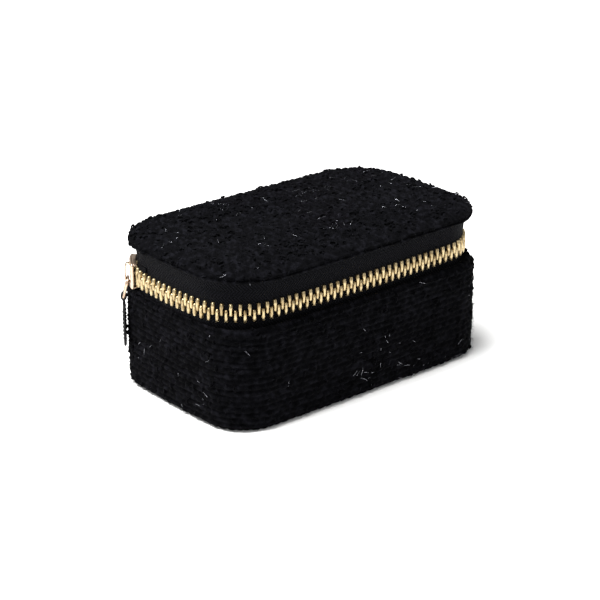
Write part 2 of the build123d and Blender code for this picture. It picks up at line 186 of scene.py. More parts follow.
@dataclass(frozen=True)
class Plan:
    """A rounded rectangle with bowed sides: eight arcs, each tangent to the next, in millimetres."""

    half_x: float
    half_y: float
    corner: float
    end: float
    side: float

    def corner_centre(self) -> np.ndarray:
        """Returns the rear right corner's centre, where circles about the two big centres cross."""
        a = np.array([self.half_x - self.end, 0.0])
        b = np.array([0.0, self.half_y - self.side])
        to_a = self.end - self.corner
        to_b = self.side - self.corner
        apart = np.linalg.norm(b - a)
        along = (to_a**2 - to_b**2 + apart**2) / (2 * apart)
        aside = math.sqrt(to_a**2 - along**2)
        unit = (b - a) / apart
        return a + unit * along + np.array([-unit[1], unit[0]]) * aside

    def turns(self) -> tuple[float, float]:
        """Returns the angles from +X where the end meets the corner and the corner meets the side."""
        c = self.corner_centre()
        a = math.atan2(c[1], c[0] - self.half_x + self.end)
        b = math.atan2(c[1] - self.half_y + self.side, c[0])
        return a, b

    def arcs(self) -> list[tuple[tuple[float, float], float, float, float]]:
        """Returns the arcs anticlockwise from the right-hand end: centre, radius, first and last angle."""
        cx, cy = self.corner_centre()
        a, b = self.turns()
        ex = self.half_x - self.end
        sy = self.half_y - self.side
        pi = math.pi
        return [
            ((ex, 0), self.end, -a, a),
            ((cx, cy), self.corner, a, b),
            ((0, sy), self.side, b, pi - b),
            ((-cx, cy), self.corner, pi - b, pi - a),
            ((-ex, 0), self.end, pi - a, pi + a),
            ((-cx, -cy), self.corner, pi + a, pi + b),
            ((0, -sy), self.side, pi + b, 2 * pi - b),
            ((cx, -cy), self.corner, 2 * pi - b, 2 * pi - a),
        ]

    def rear_share(self, theta: float, left: bool) -> float:
        """Turns an angle round a rear corner into a place along the plan.

        Args:
            theta: Degrees from the left or right end towards the rear.
            left: True for the rear left corner.

        Returns:
            The arc's number plus the share of it that is passed.
        """
        a, b = self.turns()
        share = (math.radians(theta) - a) / (b - a)
        return 4 - share if left else 1 + share

    def track(self, first: float = 0.0, last: float = 8.0, step: float = 0.5, model: "Plan | None" = None) -> Track:
        """Walks along the plan.

        Args:
            first: Arc number plus share where the walk starts.
            last: The same where it ends; 8 more than first goes all the way round.
            step: Wanted spacing in millimetres.
            model: A plan whose arc lengths set the spacing, so that tracks on two plans match point for point.

        Returns:
            The track.
        """
        closed = abs(last - first - 8) < 1e-9
        arcs = self.arcs()
        lengths = [r * (t1 - t0) for _, r, t0, t1 in (model or self).arcs()]
        points = []
        outward = []
        for whole in range(math.floor(first), math.ceil(last)):
            low = max(first - whole, 0.0)
            high = min(last - whole, 1.0)
            count = max(1, round(lengths[whole % 8] * (high - low) / step))
            final = not closed and whole == math.ceil(last) - 1
            share = np.linspace(low, high, count + 1)[: count + final]
            centre, radius, t0, t1 = arcs[whole % 8]
            angle = t0 + (t1 - t0) * share
            out = np.stack([np.cos(angle), np.sin(angle)], axis=1)
            outward.append(out)
            points.append(np.array(centre) + radius * out)
        points = np.concatenate(points)
        steps = np.linalg.norm(np.diff(points, axis=0), axis=1)
        return Track(points, np.concatenate(outward), running(steps), closed)


ZIP = Plan(48.9, 27.6, 16.0, 150.0, 600.0)
BASE = Plan(48.5, 29.2, 13.2, 400.0, 3000.0)
LID = Plan(49.5, 29.8, 18.0, 400.0, 3000.0)
ZIP_Z = 33.6
REAR_THETA = 67.5


# ---- meshes -----------------------------------------------------------------------------
@dataclass
class Surface:
    """Vertices in millimetres and faces as arrays of vertex numbers, one array for each number of corners."""

    vertices: np.ndarray
    faces: list[np.ndarray]
    uv: np.ndarray | None = None

    def plus(self, other: "Surface") -> "Surface":
        """Returns both surfaces as one, kept as separate shells."""
        shift = len(self.vertices)
        faces = self.faces + [f + shift for f in other.faces]
        uv = None if self.uv is None or other.uv is None else np.concatenate([self.uv, other.uv])
        return Surface(np.concatenate([self.vertices, other.vertices]), faces, uv)

    def mesh(self, name: str) -> bpy.types.Mesh:
        """Makes a Blender mesh in metres, smooth shaded, its faces turned outwards.

        Args:
            name: The mesh's name.

        Returns:
            The mesh.
        """
        made = bpy.data.meshes.new(name)
        corners = np.concatenate([f.ravel() for f in self.faces])
        totals = np.concatenate([np.full(len(f), f.shape[1]) for f in self.faces])
        made.vertices.add(len(self.vertices))
        made.vertices.foreach_set("co", (self.vertices * MM).astype(np.float32).ravel())
        made.loops.add(len(corners))
        made.loops.foreach_set("vertex_index", corners.astype(np.int32))
        made.polygons.add(len(totals))
        made.polygons.foreach_set("loop_start", (np.cumsum(totals) - totals).astype(np.int32))
        made.polygons.foreach_set("loop_total", totals.astype(np.int32))
        made.polygons.foreach_set("use_smooth", np.ones(len(totals), bool))
        if self.uv is not None:
            layer = made.uv_layers.new(name="weave")
            layer.data.foreach_set("uv", self.uv[corners].astype(np.float32).ravel())
        made.update(calc_edges=True)
        turned = bmesh.new()
        turned.from_mesh(made)
        bmesh.ops.recalc_face_normals(turned, faces=turned.faces)
        turned.to_mesh(made)
        turned.free()
        return made


def quads(rows: int, columns: int, wrap_rows: bool, wrap_columns: bool) -> np.ndarray:
    """Four-sided faces of a rows x columns lattice.

    Args:
        rows: Number of rows of points.
        columns: Number of points in a row.
        wrap_rows: True if the last row joins the first.
        wrap_columns: True if the last column joins the first.

    Returns:
        Faces x 4 vertex numbers.
    """
    r = np.arange(rows if wrap_rows else rows - 1)[:, None]
    c = np.arange(columns if wrap_columns else columns - 1)[None]
    r2 = (r + 1) % rows
    c2 = (c + 1) % columns
    corners = [r * columns + c, r * columns + c2, r2 * columns + c2, r2 * columns + c]
    return np.stack([np.broadcast_to(k, (r.size, c.size)).ravel() for k in corners], axis=1)


def swept(points: np.ndarray, track: Track) -> Surface:
    """Closes a rows x columns x 3 lattice whose rows go round a closed profile and columns along a track.

    Args:
        points: The lattice in millimetres.
        track: The track, whose closed flag says whether the columns join up; if not, both ends are capped.

    Returns:
        A closed surface.
    """
    rows, columns = points.shape[:2]
    faces = [quads(rows, columns, True, track.closed)]
    if not track.closed:
        loop = np.arange(rows) * columns
        faces.append(np.stack([loop, loop + columns - 1]))
    return Surface(points.reshape(-1, 3), faces)


def dished(points: np.ndarray) -> Surface:
    """Closes a lattice whose first and last rows shrink to a point: a pad, a panel or a lining.

    Args:
        points: Rows x columns x 3 lattice in millimetres; the columns join up.

    Returns:
        A closed surface with one vertex at each pole.
    """
    rows, columns = points.shape[:2]
    poles = np.stack([points[0].mean(0), points[-1].mean(0)])
    ring = np.arange(columns)
    after = (ring + 1) % columns
    first = np.stack([np.full(columns, rows * columns), ring, after], axis=1)
    base = (rows - 1) * columns
    last = np.stack([np.full(columns, rows * columns + 1), base + after, base + ring], axis=1)
    vertices = np.concatenate([points.reshape(-1, 3), poles])
    return Surface(vertices, [quads(rows, columns, False, True), np.concatenate([first, last])])


def lattice_normals(points: np.ndarray) -> np.ndarray:
    """Directions square to a lattice, pointing away from its middle.

    Formula: the cross product of the differences between neighbours along rows and along columns.

    Args:
        points: Rows x columns x 3 lattice; the columns join up.

    Returns:
        Unit vectors of the same shape.
    """
    across = np.gradient(points, axis=0)
    along = np.roll(points, -1, 1) - np.roll(points, 1, 1)
    normal = np.cross(along, across)
    normal /= np.maximum(np.linalg.norm(normal, axis=-1, keepdims=True), 1e-9)
    away = (normal * (points - points.mean((0, 1)))).sum()
    return normal if away > 0 else -normal


def bars(paths: np.ndarray, halves: np.ndarray, side: np.ndarray, sides: int, power: float = 2.0,
         wrap: bool = False) -> Surface:
    """Bars along many paths at once: wires, stitches, yarn loops, fibres and teeth.

    Formula: at each point the section is a superellipse, whose two half widths lie along the direction "side" made
    square to the path, and along the cross product of the path's direction with it.

    Args:
        paths: Bars x points x 3, in millimetres.
        halves: The two half widths, broadcast to bars x points x 2.
        side: A direction for each bar, bars x 3, never along the path.
        sides: Number of corners of the section.
        power: The superellipse's power: 2 is an ellipse, more is squarer.
        wrap: True if each path is a closed ring.

    Returns:
        One surface of separate closed shells.
    """
    count, steps = paths.shape[:2]
    ahead = (np.roll(paths, -1, 1) - np.roll(paths, 1, 1)) if wrap else np.gradient(paths, axis=1)
    ahead = ahead / np.linalg.norm(ahead, axis=-1, keepdims=True)
    first = side[:, None] - (side[:, None] * ahead).sum(-1, keepdims=True) * ahead
    first /= np.linalg.norm(first, axis=-1, keepdims=True)
    second = np.cross(ahead, first)
    halves = np.broadcast_to(halves, (count, steps, 2))
    angle = (np.arange(sides) + 0.5) * 2 * math.pi / sides
    ring = np.stack([np.cos(angle), np.sin(angle)], axis=1)
    ring = np.sign(ring) * np.abs(ring) ** (2 / power)
    offset = halves[:, :, None] * ring
    points = paths[:, :, None] + offset[..., :1] * first[:, :, None] + offset[..., 1:] * second[:, :, None]
    shift = np.arange(count)[:, None, None] * steps * sides
    faces = [(quads(steps, sides, wrap, True) + shift).reshape(-1, 4)]
    if not wrap:
        start = np.arange(sides)
        caps = np.stack([start[::-1], start + (steps - 1) * sides])
        faces.append((caps + shift).reshape(-1, sides))
    return Surface(points.reshape(-1, 3), faces)


def rounded_block(size: tuple[float, float, float], radius: float, cuts: int = 6) -> Surface:
    """A box with round edges, its middle at the origin.

    Formula: a cube of six square lattices is scaled to the box, each point is clamped to the box less the radius,
    and the point is set the radius away from the clamped one, in the direction of the original.

    Args:
        size: Lengths along x, y and z in millimetres.
        radius: The edges' radius.
        cuts: Cells along each edge of the cube.

    Returns:
        A closed surface.
    """
    line = np.linspace(-1, 1, cuts + 1)
    line = np.sign(line) * np.abs(line) ** 0.6
    a, b = np.meshgrid(line, line, indexing="ij")
    one = np.ones_like(a)
    sheets = []
    for axis, way in itertools.product(range(3), (1.0, -1.0)):
        order = np.roll([0, 1, 2], axis)
        stacked = np.stack([one * way, a, b * way], axis=-1)
        sheets.append(stacked[..., np.argsort(order)])
    cube = np.stack(sheets).reshape(-1, 3)
    half = np.array(size) / 2
    core = np.maximum(half - radius, 0)
    scaled = cube * half
    inner = np.clip(scaled, -core, core)
    away = scaled - inner
    away /= np.maximum(np.linalg.norm(away, axis=-1, keepdims=True), 1e-9)
    points = inner + away * np.minimum(radius, half)
    face = quads(cuts + 1, cuts + 1, False, False)
    faces = (face + np.arange(6)[:, None, None] * (cuts + 1) ** 2).reshape(-1, 4)
    keys = np.round(points, 4)
    _, first, where = np.unique(keys, axis=0, return_index=True, return_inverse=True)
    return Surface(points[first], [where.reshape(-1)[faces]])


# ---- materials --------------------------------------------------------------------------
def linear(code: str) -> tuple[float, float, float, float]:
    """Turns an sRGB hex code into a linear, opaque colour.

    Args:
        code: Six hex digits.

    Returns:
        Red, green, blue and alpha.
    """
    parts = np.array([int(code[i: i + 2], 16) / 255 for i in (0, 2, 4)])
    low = parts / 12.92
    high = ((parts + 0.055) / 1.055) ** 2.4
    return (*np.where(parts <= 0.04045, low, high).tolist(), 1.0)


def add_node(tree: bpy.types.NodeTree, kind: str, settings: dict | None = None,
             links: dict | None = None) -> bpy.types.Node:
    """Adds a shader node.

    Args:
        tree: The material's node tree.
        kind: The node's type name.
        settings: Values by name: a property of the node, or else an input socket's name or number.
        links: Output sockets by the input's name or number.

    Returns:
        The node.
    """
    made = tree.nodes.new(kind)
    for name, value in (settings or {}).items():
        if isinstance(name, str) and hasattr(made, name):
            setattr(made, name, value)
        else:
            made.inputs[name].default_value = value
    for name, source in (links or {}).items():
        tree.links.new(source, made.inputs[name])
    return made


def ramp(tree: bpy.types.NodeTree, source: bpy.types.NodeSocket, stops: list[tuple[float, str]]) -> bpy.types.Node:
    """Adds a colour ramp.

    Args:
        tree: The material's node tree.
        source: The number that picks the colour.
        stops: Positions with their hex colours.

    Returns:
        The ramp's node.
    """
    made = add_node(tree, "ShaderNodeValToRGB", links={"Fac": source})
    elements = made.color_ramp.elements
    for index, (position, code) in enumerate(stops):
        element = elements[index] if index < 2 else elements.new(position)
        element.position = position
        element.color = linear(code)
    return made


@dataclass(frozen=True)
class Finish:
    """What every finish has: a maker's name and the shader's own constant settings."""

    name: str
    shader: dict = field(default_factory=dict)

    def material(self) -> bpy.types.Material:
        """Returns the Blender material, made on first use."""
        found = bpy.data.materials.get(self.name)
        if found:
            return found
        made = bpy.data.materials.new(self.name)
        made.use_nodes = True
        tree = made.node_tree
        tree.nodes.clear()
        surface = add_node(tree, "ShaderNodeBsdfPrincipled", self.shader)
        add_node(tree, "ShaderNodeOutputMaterial", links={"Surface": surface.outputs["BSDF"]})
        self.dress(tree, surface)
        return made

    def dress(self, tree: bpy.types.NodeTree, surface: bpy.types.Node) -> None:
        """Links the finish's pattern to the shader."""

    def place(self, tree: bpy.types.NodeTree) -> bpy.types.NodeSocket:
        """Returns the object coordinates, in metres."""
        return add_node(tree, "ShaderNodeTexCoord").outputs["Object"]

    def noise(self, tree: bpy.types.NodeTree, size: float, detail: float = 2.0) -> bpy.types.NodeSocket:
        """Adds a noise on the object's own coordinates.

        Args:
            tree: The material's node tree.
            size: The pattern's size in millimetres.
            detail: How many finer layers it has.

        Returns:
            The noise, from 0 to 1.
        """
        settings = {"Scale": 1 / (size * MM), "Detail": detail}
        return add_node(tree, "ShaderNodeTexNoise", settings, {"Vector": self.place(tree)}).outputs["Fac"]

    def bump(self, tree: bpy.types.NodeTree, surface: bpy.types.Node, height: bpy.types.NodeSocket,
             depth: float) -> None:
        """Links a height to the shader's normal.

        Args:
            tree: The material's node tree.
            surface: The shader.
            height: Height from 0 to 1.
            depth: What a height of 1 stands for, in millimetres.
        """
        made = add_node(tree, "ShaderNodeBump", {"Distance": depth * MM, "Strength": 1.0}, {"Height": height})
        tree.links.new(made.outputs["Normal"], surface.inputs["Normal"])


@dataclass(frozen=True)
class Boucle(Finish):
    """Wool boucle yarn: matt and nearly black, each yarn a little lighter or darker, with a fibre-fine grain."""

    dark: str = "010102"
    middle: str = "040406"
    light: str = "0E0E12"
    yarn: float = 1.9
    fibre: float = 0.35

    def dress(self, tree: bpy.types.NodeTree, surface: bpy.types.Node) -> None:
        """Mottles the colour at the yarn's pitch and raises a grain of the fibre's size."""
        tone = self.noise(tree, self.yarn, 3.0)
        colour = ramp(tree, tone, [(0.34, self.dark), (0.68, self.light), (0.52, self.middle)])
        tree.links.new(colour.outputs["Color"], surface.inputs["Base Color"])
        self.bump(tree, surface, self.noise(tree, self.fibre, 4.0), 0.08)


@dataclass(frozen=True)
class Foil(Finish):
    """Metallised thread: a thin bright ribbon, crinkled so that it glints unevenly; its colour is also painted darker
    in the crinkle's hollows (painted shade) and lighter on its crests (painted glints).
    """

    # painted shade: the fold colour is the shade in the crinkle's hollows, and the colour below is the painted glint
    # on its crests
    fold: str = "4C4D52"
    colour: str = "9B9CA3"
    crinkle: float = 0.5

    def dress(self, tree: bpy.types.NodeTree, surface: bpy.types.Node) -> None:
        """Paints the brightness by the crinkle's height, darker in its hollows as painted shade and lighter on its
        crests as painted glints, and crinkles the ribbon.
        """
        waves = self.noise(tree, self.crinkle)
        # painted shade and painted glints: the same noise sets this colour and the crinkle's height
        colour = ramp(tree, waves, [(0.35, self.fold), (0.65, self.colour)])
        tree.links.new(colour.outputs["Color"], surface.inputs["Base Color"])
        self.bump(tree, surface, waves, 0.1)


@dataclass(frozen=True)
class Herringbone(Finish):
    """Herringbone twill tape: fine diagonal ribs that turn back at each wale. The real rib of 0.4 mm is too fine
    to show, so it is drawn twice as coarse."""

    # painted shade: the first colour is the shade in the valleys between the ribs, the second the ribs' lit crests
    painted_valley_shade: str = "010102"
    rib: str = "0D0D12"
    wale: float = 2.0
    pitch: float = 1.0
    fibre: float = 0.4

    def dress(self, tree: bpy.types.NodeTree, surface: bpy.types.Node) -> None:
        """Draws ribs from the weave's own coordinates: a saw wave of the run plus a triangle wave of the height; the
        colour is painted darker in the ribs' valleys and lighter on their crests (painted shade), times a random fibre
        tone.
        """
        weave = add_node(tree, "ShaderNodeUVMap", {"uv_map": "weave"})
        split = add_node(tree, "ShaderNodeSeparateXYZ", links={0: weave.outputs["UV"]})
        zigzag = add_node(tree, "ShaderNodeMath", {"operation": "PINGPONG", 1: self.wale}, {0: split.outputs["Y"]})
        slanted = add_node(tree, "ShaderNodeMath", {"operation": "ADD"},
                           {0: split.outputs["X"], 1: zigzag.outputs[0]})
        rib = add_node(tree, "ShaderNodeMath", {"operation": "PINGPONG", 1: self.pitch / 2}, {0: slanted.outputs[0]})
        height = add_node(tree, "ShaderNodeMath", {"operation": "DIVIDE", 1: self.pitch / 2}, {0: rib.outputs[0]})
        mixed = add_node(tree, "ShaderNodeMath", {"operation": "MULTIPLY"},
                         {0: height.outputs[0], 1: self.noise(tree, self.fibre)})
        # painted shade: darker in the ribs' valleys, lighter on their crests, times a random fibre tone
        colour = ramp(tree, mixed.outputs[0], [(0.05, self.painted_valley_shade), (0.6, self.rib)])
        tree.links.new(colour.outputs["Color"], surface.inputs["Base Color"])
        self.bump(tree, surface, height.outputs[0], 0.2)


@dataclass(frozen=True)
class Velvet(Finish):
    """Short-pile velvet: the pile leans in soft patches, and the light off it is painted into the colour as lighter
    and darker patches (painted sheen), with a shader sheen at its edges.
    """

    dark: str = "4A433D"
    light: str = "7C7269"
    patch: float = 7.0
    pile: float = 0.3

    def dress(self, tree: bpy.types.NodeTree, surface: bpy.types.Node) -> None:
        """Mixes broad patches, painted lighter and darker for the light off the leaning pile (painted sheen), with the
        pile's grain.
        """
        grain = self.noise(tree, self.pile)
        mixed = add_node(tree, "ShaderNodeMix", {"data_type": "FLOAT", 0: 0.45},
                         {2: self.noise(tree, self.patch), 3: grain})
        # painted sheen: the broad lighter and darker patches stand for light off the leaning pile
        colour = ramp(tree, mixed.outputs[0], [(0.34, self.dark), (0.66, self.light)])
        tree.links.new(colour.outputs["Color"], surface.inputs["Base Color"])
        self.bump(tree, surface, grain, 0.12)


@dataclass(frozen=True)
class Plated(Finish):
    """Polished and plated metal: mirror-like, with faint tarnish in patches and fine tumbling marks."""

    tarnish: str = "84704F"
    bright: str = "B8A680"
    patch: float = 1.6
    mark: float = 0.25
    dullest: float = 0.42
    glossiest: float = 0.26

    def dress(self, tree: bpy.types.NodeTree, surface: bpy.types.Node) -> None:
        """Varies the colour and the roughness in patches."""
        patches = self.noise(tree, self.patch, 3.0)
        colour = ramp(tree, patches, [(0.3, self.tarnish), (0.55, self.bright)])
        tree.links.new(colour.outputs["Color"], surface.inputs["Base Color"])
        rough = add_node(tree, "ShaderNodeMapRange", {3: self.dullest, 4: self.glossiest}, {0: patches})
        tree.links.new(rough.outputs[0], surface.inputs["Roughness"])
        self.bump(tree, surface, self.noise(tree, self.mark), 0.012)


@dataclass(frozen=True)
class Grained(Finish):
    """Grained calf leather: small pebbled cells whose creases are painted darker as painted shade, and a low wax
    sheen.
    """

    # painted shade: the colour in the creases between the cells
    painted_crease_shade: str = "040405"
    face: str = "111112"
    cell: float = 0.7

    def dress(self, tree: bpy.types.NodeTree, surface: bpy.types.Node) -> None:
        """Draws the cells by their distance to the creases between them, painted darker towards the creases as painted
        shade, and raises them by the same distance.
        """
        cells = add_node(tree, "ShaderNodeTexVoronoi",
                         {"feature": "DISTANCE_TO_EDGE", "Scale": 1 / (self.cell * MM)}, {"Vector": self.place(tree)})
        edge = add_node(tree, "ShaderNodeMapRange", {2: 0.18}, {0: cells.outputs["Distance"]})
        # painted shade: darker towards the creases, by the same distance that raises the cells
        colour = ramp(tree, edge.outputs[0], [(0.0, self.painted_crease_shade), (1.0, self.face)])
        tree.links.new(colour.outputs["Color"], surface.inputs["Base Color"])
        self.bump(tree, surface, edge.outputs[0], 0.06)


@dataclass(frozen=True)
class Mottled(Finish):
    """A plain stuff with a faint grain: grey card, thread, silvered glass or a painted floor."""

    dark: str = "8A857C"
    light: str = "A39E94"
    grain: float = 0.8
    relief: float = 0.03

    def dress(self, tree: bpy.types.NodeTree, surface: bpy.types.Node) -> None:
        """Mottles the colour and raises the grain."""
        grain = self.noise(tree, self.grain, 3.0)
        colour = ramp(tree, grain, [(0.35, self.dark), (0.65, self.light)])
        tree.links.new(colour.outputs["Color"], surface.inputs["Base Color"])
        self.bump(tree, surface, grain, self.relief)


TWEED = Boucle("boucle_tweed", {"Roughness": 0.95, "Sheen Weight": 0.004, "Sheen Roughness": 0.5,
                                "Specular IOR Level": 0.04})
LUREX = Foil("lurex_thread", {"Metallic": 1.0, "Roughness": 0.25})
TWILL = Herringbone("herringbone_twill", {"Roughness": 0.85, "Specular IOR Level": 0.06})
PILE = Velvet("greige_velvet", {"Roughness": 0.95, "Sheen Weight": 0.5, "Sheen Roughness": 0.35,
                                "Specular IOR Level": 0.2})
BRASS = Plated("polished_zip_brass", {"Metallic": 1.0})
GILT = Plated("plated_zinc_slider", {"Metallic": 1.0}, "9C836D", "C8B29C", 2.4)
CALF = Grained("grained_calf", {"Roughness": 0.5, "Specular IOR Level": 0.2})
CARD = Mottled("grey_card", {"Roughness": 0.9})
THREAD = Mottled("black_polyester_thread", {"Roughness": 0.7, "Specular IOR Level": 0.1},
                 "050506", "0C0C0E", 0.2, 0.03)
GLASS = Mottled("silvered_glass", {"Metallic": 1.0, "Roughness": 0.03}, "DDE2E2", "E4E8E8", 30.0, 0.0)
FLOOR = Mottled("matt_studio_floor", {"Roughness": 0.9}, "F2F2F1", "F5F5F4", 40.0, 0.0)


# ---- putting pieces in -------------------------------------------------------------------
def add_piece(name: str, made: Surface | bpy.types.Mesh, finish: Finish, body: Body | None,
              stands_for: tuple[str, ...] = ()) -> bpy.types.Object:
    """Puts a piece in the scene on its body.

    Args:
        name: The piece's name.
        made: Its surface or mesh.
        finish: Its finish.
        body: The body it rides on, or None to leave it unattached.
        stands_for: CAD nodes that it replaces.

    Returns:
        The object.
    """
    mesh = made.mesh(name) if isinstance(made, Surface) else made
    piece = bpy.data.objects.new(name, mesh)
    bpy.context.scene.collection.objects.link(piece)
    mesh.materials.append(finish.material())
    if body:
        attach(piece, body.value)
    if stands_for:
        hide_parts(*stands_for)
    LOG.info("%s: %d faces", name, len(mesh.polygons))
    return piece


def dress_node(node: str, finish: Finish) -> None:
    """Gives a carried-over CAD node its finish."""
    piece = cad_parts[node]
    piece.data.materials.clear()
    piece.data.materials.append(finish.material())


# ---- tweed ------------------------------------------------------------------------------
@dataclass(frozen=True)
class Weave:
    """The tweed's relief: thick knotted yarns in rows, laid like bricks."""

    pitch: float = 1.65
    knot: float = 2.6
    depth: float = 1.1
    wander: float = 0.4

    def relief(self, along: np.ndarray, across: np.ndarray, place: np.ndarray) -> np.ndarray:
        """Height of the yarns over their backing.

        Formula: a round ridge across each row times a round bead along it, with odd rows moved half a bead; each
        bead has its own random height, rows wander by a smooth noise, and a finer noise curls the surface.

        Args:
            along: Distance along the rows.
            across: Distance across the rows.
            place: Points in space, for the noise.

        Returns:
            Heights in millimetres, from 0 to about the depth.
        """
        row = (across + self.wander * (cloudy(place, 5.0, 1) - 0.5)) / self.pitch
        line = np.floor(row)
        ridge = 1 - np.abs(2 * (row - line) - 1) ** 1.8
        bead = (along + 1.3 * (cloudy(place, 3.5, 2) - 0.5)) / self.knot
        bead = bead + 0.5 * (line % 2) + 0.3 * scattered(line[..., None], 3)
        number = np.floor(bead)
        lump = 1 - np.abs(2 * (bead - number) - 1) ** 3
        lift = 0.45 + 0.55 * scattered(np.stack([line, number], axis=-1), 4)
        curl = cloudy(place, 0.9, 5)
        return self.depth * (0.9 * ridge * (0.35 + 0.65 * lump * lift) + 0.16 * curl)


WEAVE = Weave()


def fitted_weave(length: float) -> Weave:
    """Returns the weave with its knots stretched to go a whole number of times round a closed track."""
    return Weave(knot=length / round(length / WEAVE.knot))


@dataclass(frozen=True)
class Fuzz:
    """What stands out of the tweed: yarn loops, loose fibres and metallic threads."""

    seed: int
    loops: int
    fibres: int
    threads: int

    def spots(self, points: np.ndarray, normals: np.ndarray, count: int, salt: int, clustered: bool) -> tuple:
        """Picks random places on a lattice.

        Args:
            points: Lattice points.
            normals: Their outward directions.
            count: How many are wanted.
            salt: Added to the seed.
            clustered: True to gather them where a broad noise is high.

        Returns:
            Places, outward directions, two directions along the surface, and the random source.
        """
        draw = np.random.default_rng(self.seed + salt)
        flat = points.reshape(-1, 3)
        weight = np.ones(len(flat))
        if clustered:
            weight = np.clip(cloudy(flat, 13.0, self.seed + salt) - 0.4, 0.04, 1) ** 2
        pick = draw.choice(len(flat), count, p=weight / weight.sum())
        up = normals.reshape(-1, 3)[pick]
        aim = draw.normal(size=(count, 3))
        aim -= (aim * up).sum(-1, keepdims=True) * up
        aim /= np.linalg.norm(aim, axis=-1, keepdims=True)
        return flat[pick], up, aim, np.cross(up, aim), draw

    def yarn_loops(self, points: np.ndarray, normals: np.ndarray) -> Surface:
        """Small curls of yarn: half rings that lean and twist, on random places of the lattice."""
        place, up, aim, aside, draw = self.spots(points, normals, self.loops, 1, False)
        turn = np.linspace(-0.25, math.pi + 0.25, 6)[None, :, None]
        radius = draw.uniform(0.35, 0.75, (self.loops, 1, 1))
        rise = draw.uniform(0.2, 0.6, (self.loops, 1, 1))
        twist = draw.uniform(-0.7, 0.7, (self.loops, 1, 1))
        paths = place[:, None] + radius * (np.cos(turn) * aim[:, None] + rise * np.sin(turn) * up[:, None])
        paths = paths + radius * twist * np.sin(2 * turn) * aside[:, None]
        halves = draw.uniform(0.2, 0.34, (self.loops, 1, 1)) * np.ones(2)
        return bars(paths, halves, aside, 4)

    def loose_fibres(self, points: np.ndarray, normals: np.ndarray) -> Surface:
        """Fine bent hairs that stand out of the yarn."""
        place, up, aim, aside, draw = self.spots(points, normals, self.fibres, 2, False)
        along = np.linspace(0, 1, 4)[None, :, None]
        length = draw.uniform(0.6, 1.7, (self.fibres, 1, 1))
        lean = draw.uniform(0.2, 1.2, (self.fibres, 1, 1))
        curl = draw.uniform(-0.8, 0.8, (self.fibres, 1, 1))
        rise = length * along * (1 - 0.45 * lean * along)
        paths = place[:, None] + rise * up[:, None] + length * lean * along**1.5 * aim[:, None]
        paths = paths + length * curl * along**2 * aside[:, None]
        thin = (0.045 * (1 - 0.6 * along)) * np.ones(2)
        return bars(paths, thin, aside, 3)

    def glints(self, points: np.ndarray, normals: np.ndarray) -> Surface:
        """Short ends of metallic thread that lie on the yarn in random directions."""
        place, up, aim, aside, draw = self.spots(points, normals, self.threads, 3, True)
        along = np.linspace(-0.5, 0.5, 4)[None, :, None]
        length = draw.uniform(0.7, 2.6, (self.threads, 1, 1))
        bow = draw.uniform(-0.1, 0.1, (self.threads, 1, 1))
        lift = draw.uniform(0.1, 0.4, (self.threads, 1, 1))
        tilt = draw.uniform(-0.15, 0.35, (self.threads, 1, 1))
        paths = place[:, None] + length * along * aim[:, None] + (lift + tilt * length * along) * up[:, None]
        paths = paths + bow * length * (1 - 4 * along**2) * aside[:, None]
        flat = np.array([0.075, 0.035])
        return bars(paths, flat, aside, 4)


def fuzzy_pieces(name: str, fuzz: Fuzz, points: np.ndarray, normals: np.ndarray, body: Body) -> None:
    """Adds a cover's yarn loops with its fibres, and its metallic threads.

    Args:
        name: Start of the pieces' names.
        fuzz: How much of each.
        points: Lattice of the shown face.
        normals: Its outward directions.
        body: The body they ride on.
    """
    wool = fuzz.yarn_loops(points, normals).plus(fuzz.loose_fibres(points, normals))
    threads = fuzz.glints(points, normals)
    for made in (wool, threads):
        made.vertices[:, 2] = np.maximum(made.vertices[:, 2], 0.02)
    add_piece(f"{name}_boucle_loops", wool, TWEED, body)
    add_piece(f"{name}_metallic_threads", threads, LUREX, body)


def between_plans(outer: Track, inner: Track, share: np.ndarray, inset: np.ndarray, height: np.ndarray) -> np.ndarray:
    """Lattice of a profile that passes from one plan to another.

    Formula: each row is the outer track moved in by its inset, mixed with the inner track moved in by the same
    inset, in proportion to the row's share, at the row's height.

    Args:
        outer: Track on the outer plan.
        inner: Track on the inner plan, with as many points.
        share: For each row, 0 on the outer plan and 1 on the inner one.
        inset: For each row, how far it is moved in.
        height: For each row, its level.

    Returns:
        Rows x columns x 3 points.
    """
    share = np.asarray(share, float)[:, None, None]
    inset = np.asarray(inset, float)[:, None]
    flat = (1 - share) * outer.moved_in(inset) + share * inner.moved_in(inset)
    return at_levels(flat, height)


